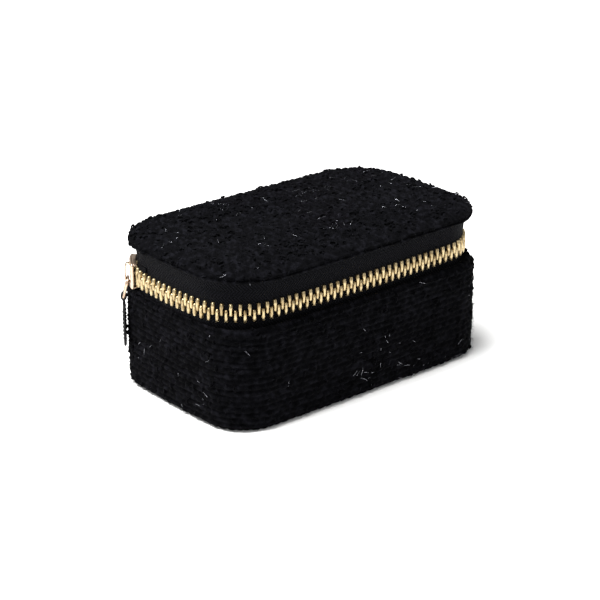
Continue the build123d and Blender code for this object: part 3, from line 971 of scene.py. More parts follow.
# ---- base -------------------------------------------------------------------------------
@dataclass
class BaseShell:
    """The base's tweed: wall with a folded top edge, and the panel underneath."""

    step: float = 0.44
    bottom_radius: float = 2.0
    fold_low: float = 28.0
    fold_rise: float = 1.75
    turn_under: float = 2.2
    skin: float = 1.0
    bulge: float = 0.1
    tape_inset: float = 0.95

    def outside(self) -> tuple[np.ndarray, np.ndarray, np.ndarray]:
        """Profile of the shown side: round bottom edge, softly bowed wall, and a plump fold down to the tape.

        Returns:
            Each row's share of the zip's plan, inset and height.
        """
        r = self.bottom_radius
        turn = np.linspace(0, math.pi / 2, 8)[:-1]
        wall = np.arange(r, self.fold_low, self.step)
        part = (wall - r) / (self.fold_low - r)
        fold = np.linspace(0, 1, 10)
        share = np.concatenate([0 * turn, 0 * wall, fold**1.3])
        inset = np.concatenate([r - r * np.sin(turn), -self.bulge * np.sin(math.pi * part) ** 0.7,
                                self.tape_inset * fold])
        rise = self.fold_rise * np.sin(math.pi * (0.06 + 0.72 * fold))
        height = np.concatenate([r - r * np.cos(turn) + 0.12, wall, self.fold_low + rise - rise[0]])
        return share, inset, height

    def build(self) -> None:
        """Adds the wall, its fuzz and the panel underneath."""
        outer = BASE.track(step=self.step, first=2.5, last=10.5)
        inner = ZIP.track(step=self.step, first=2.5, last=10.5, model=BASE)
        share, inset, height = self.outside()
        face = between_plans(outer, inner, share, inset, height)
        normals = lattice_normals(face)
        normals[-1] = normals[-2]
        weave = fitted_weave(outer.length())
        rows = running(np.hypot(np.diff(height), np.diff(inset)))
        relief = weave.relief(np.broadcast_to(outer.run, face.shape[:2]), rows[:, None] + 0 * outer.run, face)
        number = np.arange(len(height))
        fade = np.clip((len(height) - 1 - number) / 4, 0, 1) * np.clip(number / 3, 0, 1)
        face = face + normals * ((relief - 0.7 * weave.depth) * fade[:, None])[..., None]
        face[..., 2] = np.maximum(face[..., 2], 0.02)
        back = between_plans(outer, inner, [1, 1, 0, 0, 0, 0],
                             np.repeat([self.tape_inset, self.skin, self.turn_under], 2),
                             [28.6, 27.8, 27.8, 2.2, 0.9, 0.12])
        whole = swept(np.concatenate([face, back]), outer)
        add_piece("base_tweed_wall", whole, TWEED, Body.BASE, ("base_side_cover", "base_wall_wadding"))
        shown = slice(4, len(height) - 3)
        fuzz = Fuzz(seed=11, loops=700, fibres=4600, threads=110)
        fuzzy_pieces("base", fuzz, face[shown], normals[shown], Body.BASE)
        self.build_panel()

    def build_panel(self) -> None:
        """Adds the tweed panel under the base: a flat dish with a shallow weave, its rim tucked to the turned edge."""
        track = BASE.track(step=0.9)
        share = np.linspace(0.02, 1, 56)
        rim = track.moved_in(np.full(1, self.turn_under))[0]
        under = at_levels(share[:, None, None] * rim[None], np.zeros(len(share)))
        relief = WEAVE.relief(under[..., 0], under[..., 1], under)
        under[..., 2] = 0.55 - relief * np.clip((1 - share) * 12, 0.2, 1)[:, None]
        under[..., 2] = np.maximum(under[..., 2], 0.0)
        top = under[::-8].copy()
        top[..., 2] = 0.9
        add_piece("base_tweed_panel", dished(np.concatenate([under, top])), TWEED, Body.BASE,
                  ("base_bottom_cover",))


# ---- lid --------------------------------------------------------------------------------
ENLARGE = 5.0
FRAMES = 20


def positions(mesh: bpy.types.Mesh) -> np.ndarray:
    """Returns a mesh's vertices in metres, as one flat row."""
    flat = np.zeros(len(mesh.vertices) * 3, np.float32)
    mesh.vertices.foreach_get("co", flat)
    return flat


def swell(name: str, start: Surface, pressure: float, cap: float, voxel: float) -> bpy.types.Mesh:
    """Blows a closed form up as cloth and returns it.

    The form is remeshed, enlarged so that the solver works at cushion size, filled with pressure for twenty frames
    with no gravity, and no vertex may end further than the cap from where it began.

    Args:
        name: A name for the pad while it is simulated.
        start: The slightly smaller closed form.
        pressure: The cloth's inner pressure.
        cap: The furthest that a vertex may move, in millimetres.
        voxel: Remeshing size in millimetres.

    Returns:
        A mesh in metres.
    """
    mesh = start.mesh(name)
    pad = bpy.data.objects.new(name, mesh)
    bpy.context.scene.collection.objects.link(pad)
    remesh = pad.modifiers.new("remesh", "REMESH")
    remesh.mode = "VOXEL"
    remesh.voxel_size = voxel * MM
    graph = bpy.context.evaluated_depsgraph_get()
    even = bpy.data.meshes.new_from_object(pad.evaluated_get(graph))
    pad.modifiers.clear()
    pad.data = even
    rest = positions(even)
    even.vertices.foreach_set("co", rest * ENLARGE)
    cloth = pad.modifiers.new("cloth", "CLOTH")
    cloth.settings.use_pressure = True
    cloth.settings.uniform_pressure_force = pressure
    cloth.settings.effector_weights.gravity = 0.0
    cloth.point_cache.frame_start = 1
    cloth.point_cache.frame_end = FRAMES
    for number in range(1, FRAMES + 1):
        bpy.context.scene.frame_set(number)
    graph = bpy.context.evaluated_depsgraph_get()
    moved = positions(pad.evaluated_get(graph).data)
    pad.modifiers.clear()
    bpy.context.scene.frame_set(1)
    change = (moved / ENLARGE - rest).reshape(-1, 3)
    far = np.linalg.norm(change, axis=1, keepdims=True)
    change *= np.minimum(1.0, cap * MM / np.maximum(far, 1e-12))
    rest = rest + change.ravel()
    LOG.info("%s swelled by up to %.2f mm", name, float(np.minimum(far, cap * MM).max() / MM))
    even.vertices.foreach_set("co", rest)
    even.polygons.foreach_set("use_smooth", np.ones(len(even.polygons), bool))
    even.update()
    bpy.data.objects.remove(pad)
    return even


@dataclass
class LidPad:
    """The padded lid: tweed drawn over foam and a board, with a plump edge turned under to the zip tape."""

    step: float = 0.47
    flat_inset: float = 3.2
    edge_drop: float = 2.0
    tuck: float = 1.2
    tape_inset: float = 0.95
    lift: float = 0.35
    blur: float = 2.2
    rows: int = 92
    top: float = height_of("lid_cover", True)
    under: float = height_of("lid_cover", False)
    board_under: float = height_of("lid_board", False)
    board_top: float = height_of("lid_board", True)

    def pad_heights(self, points: np.ndarray) -> np.ndarray:
        """How much the pad stands over its rim, from the swelled foam.

        Formula: the mean height of the simulated vertices of the pad's top, weighted by a bell curve of their
        distance in plan.

        Args:
            points: Places in plan, n x 2.

        Returns:
            Rise in millimetres, one for each place.
        """
        track = LID.track(step=4.0)
        heights = self.board_top + np.array([0.0, 0.0, 0.6, 0.9, 0.9])
        insets = np.array([3.0, 1.4, 1.4, 2.2, 3.0])
        flat = track.moved_in(insets[:, None])
        rim = at_levels(flat, heights)
        start = dished(np.concatenate([rim[:1] * [0.01, 0.01, 1], rim, rim[-1:] * [0.01, 0.01, 1]]))
        even = swell("lid_foam_trial", start, 4.0, 1.1, 1.1)
        soft = positions(even).reshape(-1, 3).astype(float) / MM
        bpy.data.meshes.remove(even)
        soft = soft[soft[:, 2] > self.board_top + 0.4]
        rise = np.zeros(len(points))
        for block in np.array_split(np.arange(len(points)), 40):
            apart = ((points[block, None] - soft[None, :, :2]) ** 2).sum(-1)
            weight = np.exp(-apart / (2 * self.blur**2))
            rise[block] = (weight * soft[:, 2]).sum(1) / np.maximum(weight.sum(1), 1e-9)
        return rise - heights[-1]

    def build(self) -> None:
        """Adds the padded cover and its fuzz."""
        outer = LID.track(step=self.step, first=2.5, last=10.5)
        inner = ZIP.track(step=self.step, first=2.5, last=10.5, model=LID)
        scale = np.linspace(0.012, 1, self.rows)
        rim = outer.moved_in(np.full(1, self.flat_inset))[0]
        level = self.top - 0.1
        top = at_levels(scale[:, None, None] * rim[None], np.full(self.rows, level))
        rise = self.pad_heights(top[..., :2].reshape(-1, 2)).reshape(top.shape[:2])
        top[..., 2] += np.clip(rise, -0.3, 1.0)
        turn = np.linspace(0, math.pi / 2, 9)[1:]
        tuck = np.linspace(0, math.pi / 2, 6)[1:]
        share = np.concatenate([0 * turn, [0.0], 0 * tuck, [0.7]])
        inset = np.concatenate([0.15 + (self.flat_inset - 0.15) * (1 - np.sin(turn)), [0.12],
                                0.15 + self.tuck * (1 - np.cos(tuck)), [1.0]])
        drop = level - self.edge_drop * (1 - np.cos(turn))
        under = self.under + self.lift
        low = under + self.tuck * (1 - np.sin(tuck))
        height = np.concatenate([drop, [(drop[-1] + low[0]) / 2], low, [under + 0.2]])
        edge = between_plans(outer, inner, share, inset, height)
        face = np.concatenate([top, edge])
        normals = lattice_normals(face)
        normals[0] = [0, 0, 1]
        relief = WEAVE.relief(face[..., 1], face[..., 0], face)
        rows = running(np.hypot(np.diff(height), np.diff(inset)))
        weave = fitted_weave(outer.length())
        side = weave.relief(np.broadcast_to(outer.run, edge.shape[:2]), rows[:, None] + 0 * outer.run, edge)
        mix = np.clip(np.arange(len(side)) / 5, 0, 1)[:, None]
        relief[self.rows:] = (1 - mix) * relief[self.rows:] + mix * side
        fade = np.clip((len(face) - 1 - np.arange(len(face))) / 4, 0, 1)[:, None]
        offset = (relief - 0.7 * WEAVE.depth) * fade
        offset[-7:] = np.maximum(offset[-7:], 0.0)
        face = face + normals * offset[..., None]
        back = between_plans(outer, inner, [1, 1, 0, 0], [self.tape_inset, self.tape_inset, 1.0, 1.0],
                             [under + 0.1, under + 0.2, under + 0.25, self.board_top])
        close = back[-1:] * [0.012, 0.012, 1]
        pad = add_piece("lid_tweed_pad", dished(np.concatenate([face, back, close])), TWEED, Body.LID,
                        ("lid_cover", "lid_foam"))
        shown = slice(2, len(face) - 6)
        self.fuzz(face[shown], normals[shown])

    def fuzz(self, points: np.ndarray, normals: np.ndarray) -> None:
        """Adds the fuzz, evenly over the area: the middle's crowded rows are thinned first.

        Args:
            points: Lattice of the shown face.
            normals: Its outward directions.
        """
        draw = np.random.default_rng(5)
        chance = np.clip((np.arange(len(points)) + 2) / self.rows, 0, 1)[:, None]
        keep = draw.random(points.shape[:2]) < chance
        fuzz = Fuzz(seed=23, loops=800, fibres=4400, threads=120)
        fuzzy_pieces("lid", fuzz, points[keep], normals[keep], Body.LID)


# ---- zip --------------------------------------------------------------------------------
@dataclass
class ZipChain:
    """Woven tapes with clamped metal teeth, sewn between the base and the lid."""

    pitch: float = 2.4
    depth: float = 2.4
    chain_end: float = 50.0
    spread: float = 1.15
    spread_start: float = 22.0
    tape_out: float = 0.95
    tape_in: float = 1.45
    gap: float = 0.9

    def tape(self, first: float, last: float, low: np.ndarray | float, high: float, outer_low: bool,
             flare: float = 0.0) -> Surface:
        """A tape along part of the zip's plan: a thin band with a beaded edge beside the teeth.

        Args:
            first: Arc number plus share where it starts.
            last: The same where it ends.
            low: Level of the lower edge, one number or one for each point of the track.
            high: Level of the upper edge.
            outer_low: True if the beaded edge is the lower one.
            flare: How far the upper edge leans outwards.

        Returns:
            The closed tape, with coordinates in millimetres for its weave.
        """
        track = ZIP.track(first, last, 0.7)
        share = np.array([0, 0.04, 0.12, 0.22, 0.35, 0.5, 0.65, 0.78, 0.88, 0.96, 1.0])
        if not outer_low:
            share = 1 - share[::-1]
        near = np.exp(-((share if outer_low else 1 - share) / 0.1) ** 2)
        thick = 0.25 + 0.2 * near
        mid = (self.tape_out + self.tape_in) / 2
        ends = np.minimum(1, np.minimum(share, 1 - share) * 30 + 0.5)
        inset = np.concatenate([mid - thick * ends, (mid + thick * ends)[::-1]])
        part = np.concatenate([share, share[::-1]])
        level = np.broadcast_to(low, track.run.shape)[None]
        height = level + part[:, None] * (high - level)
        flat = track.moved_in(np.broadcast_to(inset[:, None], height.shape))
        points = at_levels(flat, height)
        sag = 0.12 * (cloudy(points, 9.0, 31) - 0.5) + flare * part[:, None] ** 2
        points[..., :2] += track.outward[None] * sag[..., None]
        made = swept(points, track)
        made.uv = np.stack([np.broadcast_to(track.run, height.shape).ravel(), height.ravel()], axis=1)
        return made

    def places(self, offset: float) -> tuple[np.ndarray, ...]:
        """Where one row of teeth sits.

        Formula: distances along the middle of the chain, a pitch apart from the middle of the front, are turned
        into points of the zip's plan moved in by half the chain's depth, and mirrored to both sides.

        Args:
            offset: Distance of the first tooth from the middle of the front.

        Returns:
            Points, outward directions, and angles in degrees round the rear corner (below 0 before it).
        """
        fine = ZIP.track(6.5, 8 + ZIP.rear_share(self.chain_end, False), 0.1)
        line = fine.moved_in(np.full(1, self.depth / 2))[0]
        run = running(np.linalg.norm(np.diff(line, axis=0), axis=1))
        want = np.arange(offset, run[-1], self.pitch)
        right = np.stack([np.interp(want, run, line[:, k]) for k in (0, 1)], axis=1)
        out = np.stack([np.interp(want, run, fine.outward[:, k]) for k in (0, 1)], axis=1)
        left = want > 0
        flip = np.array([-1, 1])
        angle = np.degrees(np.arctan2(out[:, 1], out[:, 0]))
        rear = right[:, 1] > self.zone()
        theta = np.where(rear, angle, -1.0)
        points = np.concatenate([right, right[left] * flip])
        return points, np.concatenate([out, out[left] * flip]), np.concatenate([theta, theta[left]])

    def zone(self) -> float:
        """Returns how far back the stretch begins where the slider works."""
        return float(ZIP.corner_centre()[1])

    def teeth(self, way: int, offset: float, wanted: str) -> Surface:
        """A row of teeth: a broad foot clamped on the tape, a waist, and a rounded head between the other row's.

        Args:
            way: 1 for the upper row, -1 for the lower.
            offset: Distance of the first tooth from the middle of the front.
            wanted: "end" for the slider's stretch, "rest" for the others, or "all".

        Returns:
            The teeth as separate shells.
        """
        points, out, theta = self.places(offset)
        inside = (theta >= 0) & (points[:, 0] < 0)
        if wanted != "all":
            keep = inside == (wanted == "end")
            points, out, theta, inside = points[keep], out[keep], theta[keep], inside[keep]
        shift = np.where(inside & (theta > self.spread_start), self.spread, 0.0)
        level = np.array([2.72, 2.5, 1.25, 0.85, 0.2, -0.55, -0.92])
        wide = np.array([0.32, 0.51, 0.55, 0.45, 0.42, 0.51, 0.30])
        thick = np.array([0.75, 1.1, 1.22, 1.22, 1.2, 1.15, 0.85])
        height = ZIP_Z + way * (level[None] + shift[:, None])
        flat = np.broadcast_to(points[:, None], (len(points), len(level), 2))
        paths = at_levels(flat, height)
        side = np.concatenate([out, np.zeros((len(out), 1))], axis=1)
        return bars(paths, np.stack([thick, wide], axis=1)[None], side, 10, 3.2)

    def build(self) -> None:
        """Adds the tapes and the teeth, and gives the stops their finish."""
        left = ZIP.rear_share(REAR_THETA, True)
        right = 8 + ZIP.rear_share(REAR_THETA, False)
        lower = self.tape(left, right, 27.9, ZIP_Z - self.gap + 0.3, False)
        add_piece("zip_tape_lower_woven", lower, TWILL, Body.BASE, ("zip_tape_lower",))
        track = ZIP.track(left, right, 0.7)
        middle = track.moved_in(np.full(1, (self.tape_out + self.tape_in) / 2))[0]
        behind = (track.points[:, 0] < 0) & (middle[:, 1] > self.zone() - 0.3)
        low = np.where(behind, 38.0, ZIP_Z + self.gap - 0.3)
        upper = self.tape(left, right, low, height_of("zip_tape_upper", True) + 0.8, True, 0.85)
        add_piece("zip_tape_upper_woven", upper, TWILL, Body.LID, ("zip_tape_upper",))
        end = self.tape(left, 4.02, ZIP_Z + self.gap - 0.3, 37.8, True)
        add_piece("zip_tape_end_woven", end, TWILL, Body.BASE, ("zip_tape_upper_end",))
        half = self.pitch / 2
        rows = [("zip_teeth_lower", -1, 0.0, "all", Body.BASE), ("zip_teeth_upper", 1, half, "rest", Body.LID),
                ("zip_teeth_upper_end", 1, half, "end", Body.BASE)]
        for node, way, offset, wanted, body in rows:
            add_piece(f"{node}_cast", self.teeth(way, offset, wanted), BRASS, body, (node,))
        for node in ("zip_top_stop_lower", "zip_top_stop_upper", "zip_bottom_stop"):
            dress_node(node, BRASS)


# ---- spine ------------------------------------------------------------------------------
@dataclass
class Spine:
    """The fabric hinge at the rear: tweed outside and velvet inside, in one strip from the base to the lid."""

    low: float = 29.2
    high: float = height_of("spine_cover_upper", True)
    bend_half: float = 2.6
    rows: int = 28

    def strip(self, outer: float, inner: float, low: float, high: float, rough: float) -> tuple:
        """A strip along the rear with its relief on the outer face.

        Args:
            outer: Inset of the outer face.
            inner: Inset of the inner face.
            low: Lower edge.
            high: Upper edge.
            rough: Share of the tweed's relief on the outer face.

        Returns:
            The closed strip, and its outer lattice and normals.
        """
        track = ZIP.track(ZIP.rear_share(REAR_THETA, False), ZIP.rear_share(REAR_THETA, True), 0.5)
        level = np.linspace(low, high, self.rows)
        face = at_levels(track.moved_in(np.full((self.rows, 1), outer)), level)
        normals = np.broadcast_to(np.append(track.outward, np.zeros((len(track.run), 1)), axis=1)[None], face.shape)
        relief = WEAVE.relief(np.broadcast_to(track.run, face.shape[:2]), level[:, None] + 0 * track.run, face)
        face = face + normals * (rough * (relief - 0.45))[..., None]
        back_level = level[::-3]
        back = at_levels(track.moved_in(np.full((len(back_level), 1), inner)), back_level)
        return swept(np.concatenate([face, back]), track), face, normals

    def bend(self, piece: bpy.types.Object) -> None:
        """Bakes a strip's placement into its mesh."""
        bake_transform(piece)

    def build(self) -> None:
        """Adds both strips, each in one piece from the base to the lid."""
        cover, face, normals = self.strip(0.1, 1.15, self.low - 0.6, self.high + 0.6, 0.8)
        outside = add_piece("spine_tweed", cover, TWEED, None, ("spine_cover_lower", "spine_cover_upper"))
        self.bend(outside)
        fuzz = Fuzz(seed=31, loops=180, fibres=700, threads=0)
        loops = fuzz.yarn_loops(face, normals).plus(fuzz.loose_fibres(face, normals))
        wool = add_piece("spine_boucle_loops", loops, TWEED, None)
        self.bend(wool)
        lining, _, _ = self.strip(1.2, 2.1, 28.4, 38.4, 0.05)
        inside = add_piece("spine_velvet", lining, PILE, None,
                           ("spine_lining_lower", "spine_lining_upper"))
        self.bend(inside)


# ---- inside -----------------------------------------------------------------------------
@dataclass
class Interior:
    """The velvet inside: wall and floor linings, ring rolls, dividers, and the lid's ceiling with its mirror."""

    rolls: int = 4
    wall_inset: float = 4.1
    board_inset: float = 3.3
    floor: float = 3.8
    ceiling: float = height_of("lid_mirror", True)

    def build_wall(self) -> None:
        """Adds the wall lining, turned over the board's top in a soft roll to the tape."""
        outer = BASE.track(step=0.9)
        inner = ZIP.track(step=0.9, model=BASE)
        roll = np.linspace(0, 1, 7)
        level = np.linspace(3.0, 27.6, 20)
        share = np.concatenate([0 * level, roll, [1, 0, 0]])
        inset = np.concatenate([0 * level + self.wall_inset, (1 - roll) * self.wall_inset + roll * 1.5,
                                [1.5, self.board_inset, self.board_inset]])
        height = np.concatenate([level, 27.7 + 1.15 * np.sin(math.pi * (0.1 + 0.62 * roll)) ** 0.8, [27.8, 27.8, 3.0]])
        points = between_plans(outer, inner, share, inset, height)
        ripple = 0.25 * (cloudy(points, 11.0, 41) - 0.5)
        points[: len(level), :, :2] -= outer.outward[None] * ripple[: len(level), :, None]
        lining = swept(points, outer)
        add_piece("base_wall_velvet", lining, PILE, Body.BASE, ("base_wall_lining",))

    def build_floor(self) -> None:
        """Adds the floor pad: velvet over thin foam, gently quilted by a broad noise."""
        track = BASE.track(step=1.2)
        rim = track.moved_in(np.full(1, self.wall_inset + 0.05))[0]
        share = np.linspace(0.02, 1, 40)
        flat = share[:, None, None] * rim[None]
        level = self.floor - 0.35 * np.clip((share - 0.93) / 0.07, 0, 1) ** 2
        top = at_levels(flat, level)
        top[..., 2] += 0.16 * (cloudy(top, 8.0, 43) - 0.7)
        low = top[::-10].copy()
        low[..., 2] = 2.42
        pad = add_piece("base_floor_pad", dished(np.concatenate([top, low])), PILE, Body.BASE,
                        ("base_floor_lining", "base_floor_foam"))

    def build_roll(self, number: int) -> None:
        """Adds one ring roll: velvet over foam, swelled as cloth from a slightly smaller form.

        Args:
            number: The roll's number, from 1.
        """
        node = f"ring_roll_cover_{number}"
        low, high = (np.array(corner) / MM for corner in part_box(node))
        size = high - low
        start = rounded_block(tuple(size - [0.7, 0.5, 0.5]), size[0] / 2 - 0.4, 20)
        start.vertices = start.vertices + (low + high) / 2
        mesh = swell(f"ring_roll_{number}", start, 3.0, 0.4, 1.0)
        co = positions(mesh).reshape(-1, 3).astype(float) / MM
        co[:, 2] = np.maximum(co[:, 2], self.floor - 0.2)
        dimple = 0.22 * (cloudy(co, 6.0, 50 + number) - 0.5)
        co[:, 2] += np.where(co[:, 2] > high[2] - 6, dimple, 0.0)
        mesh.vertices.foreach_set("co", (co * MM).astype(np.float32).ravel())
        mesh.update()
        roll = add_piece(f"ring_roll_{number}", mesh, PILE, Body.BASE, (node, f"ring_roll_foam_{number}"))
        fine = roll.modifiers.new("smooth", "SUBSURF")
        fine.levels = 1
        fine.render_levels = 1

    def build_dividers(self) -> None:
        """Adds the two dividers: card wrapped in velvet, so their edges are round."""
        for node in ("compartment_divider_long", "compartment_divider_cross"):
            low, high = (np.array(corner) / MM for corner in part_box(node))
            wall = rounded_block(tuple(high - low + [0, 0, 0.2]), 0.85, 26)
            wall.vertices = wall.vertices + (low + high) / 2
            wall.vertices[:, 2] += 0.1 * (cloudy(wall.vertices, 7.0, 61) - 0.5)
            add_piece(f"{node}_velvet", wall, PILE, Body.BASE, (node,))

    def build_ceiling(self) -> None:
        """Adds the lid's lining: a flat ceiling that turns down the narrow wall and round its lower edge."""
        track = ZIP.track(step=0.9)
        share = np.linspace(0.02, 1, 30)
        rim = track.moved_in(np.full(1, 4.4))[0]
        middle = at_levels(share[:, None, None] * rim[None], np.full(len(share), self.ceiling))
        inset = np.array([3.9, 3.5, 3.36, 3.36, 3.3, 3.0, 2.3, 1.8, 1.6, 1.6, 2.6, 2.65])
        top = np.array([-0.05, -0.3, -0.7]) + self.ceiling
        foot = np.array([38.7, 38.4, 38.22, 38.16, 38.2, 38.3, 38.34, 38.36])
        height = np.concatenate([top, foot, [self.ceiling + 0.65]])
        flat = track.moved_in(inset[:, None])
        wall = at_levels(flat, height)
        close = wall[-1:] * [0.02, 0.02, 1]
        made = dished(np.concatenate([middle, wall, close]))
        add_piece("lid_velvet_ceiling", made, PILE, Body.LID, ("lid_lining",))

    def build_mirror(self) -> None:
        """Gives the mirror its silvering, and adds the velvet frame: a rounded bead carried round the glass."""
        dress_node("lid_mirror", GLASS)
        frame_plan = Plan(40.9, 21.9, 8.6, 900.0, 900.0)
        track = frame_plan.track(step=0.8)
        inset = np.array([0.0, 0.15, 1.0, 2.6, 4.2, 5.2, 5.5, 5.4, 3.1, 3.0, 0.3])
        height = self.ceiling - np.array([0.3, 1.1, 1.8, 2.08, 1.95, 1.6, 1.3, 1.25, 1.25, 0.02, 0.02])
        points = at_levels(track.moved_in(inset[:, None]), height)
        add_piece("mirror_velvet_frame", swept(points, track), PILE, Body.LID, ("mirror_frame",))

    def build(self) -> None:
        """Adds everything inside."""
        self.build_wall()
        self.build_floor()
        for number in range(1, self.rolls + 1):
            self.build_roll(number)
        self.build_dividers()
        self.build_ceiling()
        self.build_mirror()
        for node in ("base_bottom_board", "base_wall_board", "lid_board", "lid_wall_board"):
            dress_node(node, CARD)


# ---- slider and pull --------------------------------------------------------------------
@dataclass
class Slider:
    """The zip's slider parked on the rear left corner, with its bridge, wire loop and leather tab."""

    at: float = 36.5
    half_angle: float = 14.7
    gap: float = 0.25
    plate: float = 1.0
    half_width: float = 4.3
    depth: float = 2.4
    loop_top: tuple[float, float] = (1.75, -1.7)
    loop_foot: tuple[float, float] = (3.1, -7.1)
    loop_half: float = 2.1
    wire: float = 0.4

    def bent(self, made: Surface, radius: float) -> Surface:
        """Wraps a form made flat round the corner.

        Formula: a point's x is a distance along the circle of the given radius, its y stands out from that circle,
        and its z is a height over the chain's middle.

        Args:
            made: The flat form, changed in place.
            radius: Radius of the circle that y = 0 lies on.

        Returns:
            The same surface.
        """
        cx, cy = ZIP.corner_centre()
        x, y, z = made.vertices.T
        theta = math.radians(self.at) + x / radius
        reach = radius + y
        made.vertices = np.stack([-cx - reach * np.cos(theta), cy + reach * np.sin(theta), ZIP_Z + z], axis=1)
        return made

    def local(self, points: np.ndarray) -> np.ndarray:
        """Moves points from the slider's own frame: x along the zip, y outwards from its face, z up."""
        angle = math.radians(self.at)
        cx, cy = ZIP.corner_centre()
        out = np.array([-math.cos(angle), math.sin(angle), 0])
        rear = np.array([math.sin(angle), math.cos(angle), 0])
        origin = np.array([-cx, cy, ZIP_Z]) + out * ZIP.corner
        return origin + points[..., :1] * rear + points[..., 1:2] * out + points[..., 2:] * np.array([0, 0, 1.0])

    def outwards(self) -> np.ndarray:
        """Returns the direction out of the slider's face."""
        return self.local(np.array([0, 1.0, 0])) - self.local(np.zeros(3))

    def tab_half_width(self, down: np.ndarray) -> np.ndarray:
        """Returns the tab's half width, from the neck's to the blade's, at distances below the wire."""
        return 1.5 + 1.5 * smooth(np.clip((down - 1.0) / 3.2, 0, 1))

    def plates(self) -> Surface:
        """The two plates, narrower at the tail, with their four flanges and the wedge between them."""
        length = 2 * math.radians(self.half_angle) * ZIP.corner
        whole = None
        for radius, way in ((ZIP.corner + self.gap, 1), (ZIP.corner - self.depth - self.gap, -1)):
            share = radius / ZIP.corner
            sheet = rounded_block((length * share, self.plate, 2 * self.half_width), 0.42, 16)
            sheet.vertices[:, 1] += way * self.plate / 2
            parts = [sheet]
            for edge in (1, -1):
                flange = rounded_block((length * share * 0.97, 1.3, 0.7), 0.3, 12)
                flange.vertices += [0, -way * 0.35, edge * (self.half_width - 0.4)]
                parts.append(flange)
            for part in parts:
                along = part.vertices[:, 0] / (length * share / 2)
                part.vertices[:, 2] *= 1 - 0.16 * np.clip(-along, 0, 1) ** 1.5 - 0.12 * np.clip(along - 0.6, 0, 1)
                bent = self.bent(part, radius)
                whole = bent if whole is None else whole.plus(bent)
        wedge = rounded_block((1.6, self.depth + 0.8, 0.56), 0.2, 5)
        wedge.vertices[:, 0] += length / 2 - 1.4
        wedge.vertices[:, 1] -= self.depth / 2
        return whole.plus(self.bent(wedge, ZIP.corner))

    def bridge(self) -> Surface:
        """The bridge: a flat bar that rises from the plate, runs over it and comes back, with soft turns."""
        turn = np.linspace(0, math.pi, 22)
        rise = np.sin(turn) ** 0.45 * 1.45
        path = np.stack([0 * turn, 1.05 + rise, -2.75 * np.sign(np.cos(turn)) * np.abs(np.cos(turn)) ** 0.7], axis=1)
        return bars(self.local(path)[None], np.array([0.27, 0.95]), self.local(np.array([0, 1.0, 0.01]))[None]
                    - self.local(np.zeros(3))[None], 12, 3.0)

    def loop(self) -> Surface:
        """The wire loop: a rounded rectangle of round wire, standing on its lower bar's and upper bar's lines."""
        turn = np.linspace(0, 2 * math.pi, 49)[:-1]
        across = np.sign(np.cos(turn)) * np.abs(np.cos(turn)) ** 0.45 * self.loop_half
        part = 0.5 + 0.5 * np.sign(np.sin(turn)) * np.abs(np.sin(turn)) ** 0.45
        (ty, tz), (fy, fz) = self.loop_top, self.loop_foot
        path = np.stack([across, fy + part * (ty - fy), fz + part * (tz - fz)], axis=1)
        out = self.outwards()
        return bars(self.local(path)[None], np.full(2, self.wire), out[None], 12, wrap=True)

    def tab(self) -> Surface:
        """The leather tab: a folded strip, round where it holds the wire, waisted below and wide at its end.

        Formula: thin superellipse sections are stacked down the tab; their half width runs from the neck's to the
        blade's by a smoothstep and closes in a round end, and their half thickness is the eye's, then the strip's.

        Returns:
            The closed tab.
        """
        fy, fz = self.loop_foot
        down = np.concatenate([np.linspace(-1.02, 1.0, 12), np.linspace(1.3, 14.4, 34), 14.4 + 0.6 * np.sin(
            np.linspace(0.15, math.pi / 2, 8))])
        close = np.clip((down - 12.6) / 2.4, 0, 0.995)
        wide = self.tab_half_width(down) * (1 - close**2.6) ** 0.42
        eye = np.sqrt(np.maximum(1.02**2 - down**2, 0.02)) * 0.93
        thick = np.maximum(np.where(down < 1, eye, 0), np.where(down > 0.4, 0.42, 0))
        thick = thick * (1 - 0.55 * np.clip((down - 14.2) / 0.8, 0, 1) ** 2)
        path = np.stack([0 * down, fy + 0 * down, fz - down], axis=1)
        out = self.outwards()
        return bars(self.local(path)[None], np.stack([thick, wide], axis=1)[None], out[None], 28, 4.5)

    def tab_stitches(self) -> Surface:
        """Saddle stitches on both faces, a little inside the tab's edge."""
        fy, fz = self.loop_foot
        down = np.arange(3.9, 12.2, 1.15)
        rows = []
        for face, side in itertools.product((1, -1), (1, -1)):
            edge = side * (self.tab_half_width(down) - 0.65)
            rows.append(np.stack([edge, 0 * down + fy + face * 0.43, fz - down], axis=1))
        middle = np.concatenate(rows)
        along = np.array([-0.4, -0.28, 0, 0.28, 0.4])[None, :, None] * np.array([0, 0, 1.0])
        paths = self.local(middle[:, None] + along)
        out = self.outwards()
        half = np.array([0.05, 0.11, 0.12, 0.11, 0.05])[None, :, None] * np.ones(2)
        return bars(paths, half, np.broadcast_to(out, (len(paths), 3)), 6)

    def build(self) -> None:
        """Adds the slider's pieces."""
        add_piece("slider_body", self.plates(), GILT, Body.SLIDER, ("zip_slider",))
        add_piece("slider_bridge", self.bridge(), GILT, Body.SLIDER, ("zip_slider_bridge",))
        add_piece("pull_wire_loop", self.loop(), GILT, Body.LOOP, ("pull_loop",))
        add_piece("pull_leather_tab", self.tab(), CALF, Body.TAB, ("pull_tab",))
        add_piece("pull_tab_stitches", self.tab_stitches(), THREAD, Body.TAB)


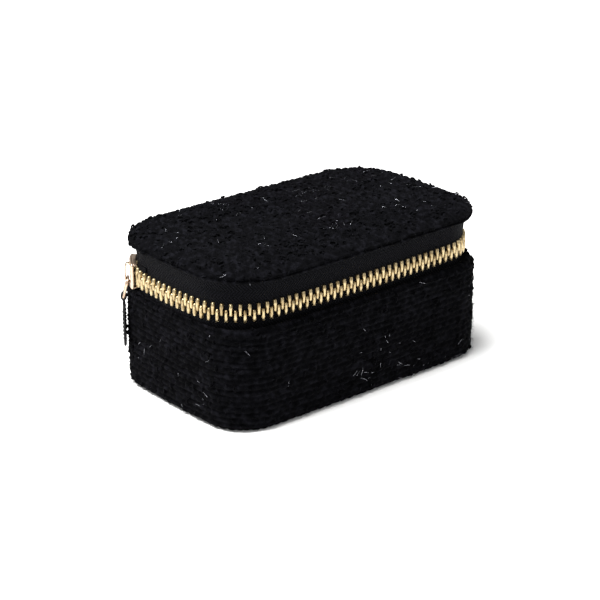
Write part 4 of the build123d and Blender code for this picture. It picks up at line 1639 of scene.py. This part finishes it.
# ---- studio -----------------------------------------------------------------------------
@dataclass
class Studio:
    """A plain pale floor, soft lights and the camera."""

    azimuth: float = -40.5
    elevation: float = 20.6
    distance: float = 518.0
    aim: tuple[float, float] = (3.6 / 1800, 45.6 / 1800)
    lens: float = 108.0

    def floor(self) -> None:
        """Adds a large level floor, a hair under the object so that the two don't share a plane."""
        half = 3000.0
        square = np.array([[-1, -1, 0], [1, -1, 0], [1, 1, 0], [-1, 1, 0]]) * half - [0, 0, 0.03]
        mesh = Surface(square, [np.array([[0, 1, 2, 3]])]).mesh("studio_floor")
        mesh.materials.append(FLOOR.material())
        ground = bpy.data.objects.new("studio_floor", mesh)
        bpy.context.scene.collection.objects.link(ground)

    def light(self, name: str, place: tuple[float, float, float], size: float, power: float) -> None:
        """Adds a square soft light that faces the object.

        Args:
            name: The light's name.
            place: Where it hangs, in millimetres.
            size: Its side, in millimetres.
            power: Its power in watts.
        """
        lamp = bpy.data.lights.new(name, "AREA")
        lamp.size = size * MM
        lamp.energy = power
        hung = bpy.data.objects.new(name, lamp)
        hung.location = Vector(place) * MM
        hung.rotation_euler = (Vector((0, 0, 25)) - Vector(place)).to_track_quat("-Z", "Y").to_euler()
        bpy.context.scene.collection.objects.link(hung)

    def camera(self) -> None:
        """Adds the camera, aimed a little under the chain's middle so that no shift is needed."""
        a = math.radians(self.azimuth)
        e = math.radians(self.elevation)
        back = Vector((math.sin(a) * math.cos(e), -math.cos(a) * math.cos(e), math.sin(e)))
        right = Vector((math.cos(a), math.sin(a), 0))
        up = back.cross(right)
        lens = bpy.data.cameras.new("camera")
        lens.lens = self.lens
        lens.sensor_width = 36.0
        lens.clip_start = 0.01
        lens.clip_end = 50.0
        eye = bpy.data.objects.new("camera", lens)
        eye.location = Vector((0, 0, ZIP_Z * MM)) + back * self.distance * MM
        look = -back - right * self.aim[0] - up * self.aim[1]
        eye.rotation_mode = "QUATERNION"
        eye.rotation_quaternion = look.to_track_quat("-Z", "Y")
        bpy.context.scene.collection.objects.link(eye)
        bpy.context.scene.camera = eye

    def build(self) -> None:
        """Adds the camera, the lights, the sky and the floor."""
        self.camera()
        self.light("key", (-300, 120, 900), 600, 26.0)
        self.light("fill", (700, -420, 420), 500, 1.0)
        self.light("front", (-640, -420, 460), 420, 1.2)
        world = bpy.data.worlds.new("studio")
        world.use_nodes = True
        world.node_tree.nodes["Background"].inputs["Color"].default_value = linear("FFFFFF")
        world.node_tree.nodes["Background"].inputs["Strength"].default_value = 0.45
        bpy.context.scene.world = world
        bpy.context.scene.view_settings.view_transform = "Standard"
        self.floor()


def main() -> None:
    """Builds the studio and the case."""
    logging.basicConfig(level=logging.INFO, format="%(name)s %(message)s")
    for part in (Studio(), BaseShell(), LidPad(), ZipChain(), Spine(), Interior(), Slider()):
        LOG.info("building %s", type(part).__name__)
        part.build()


if __name__ == "__main__":
    main()
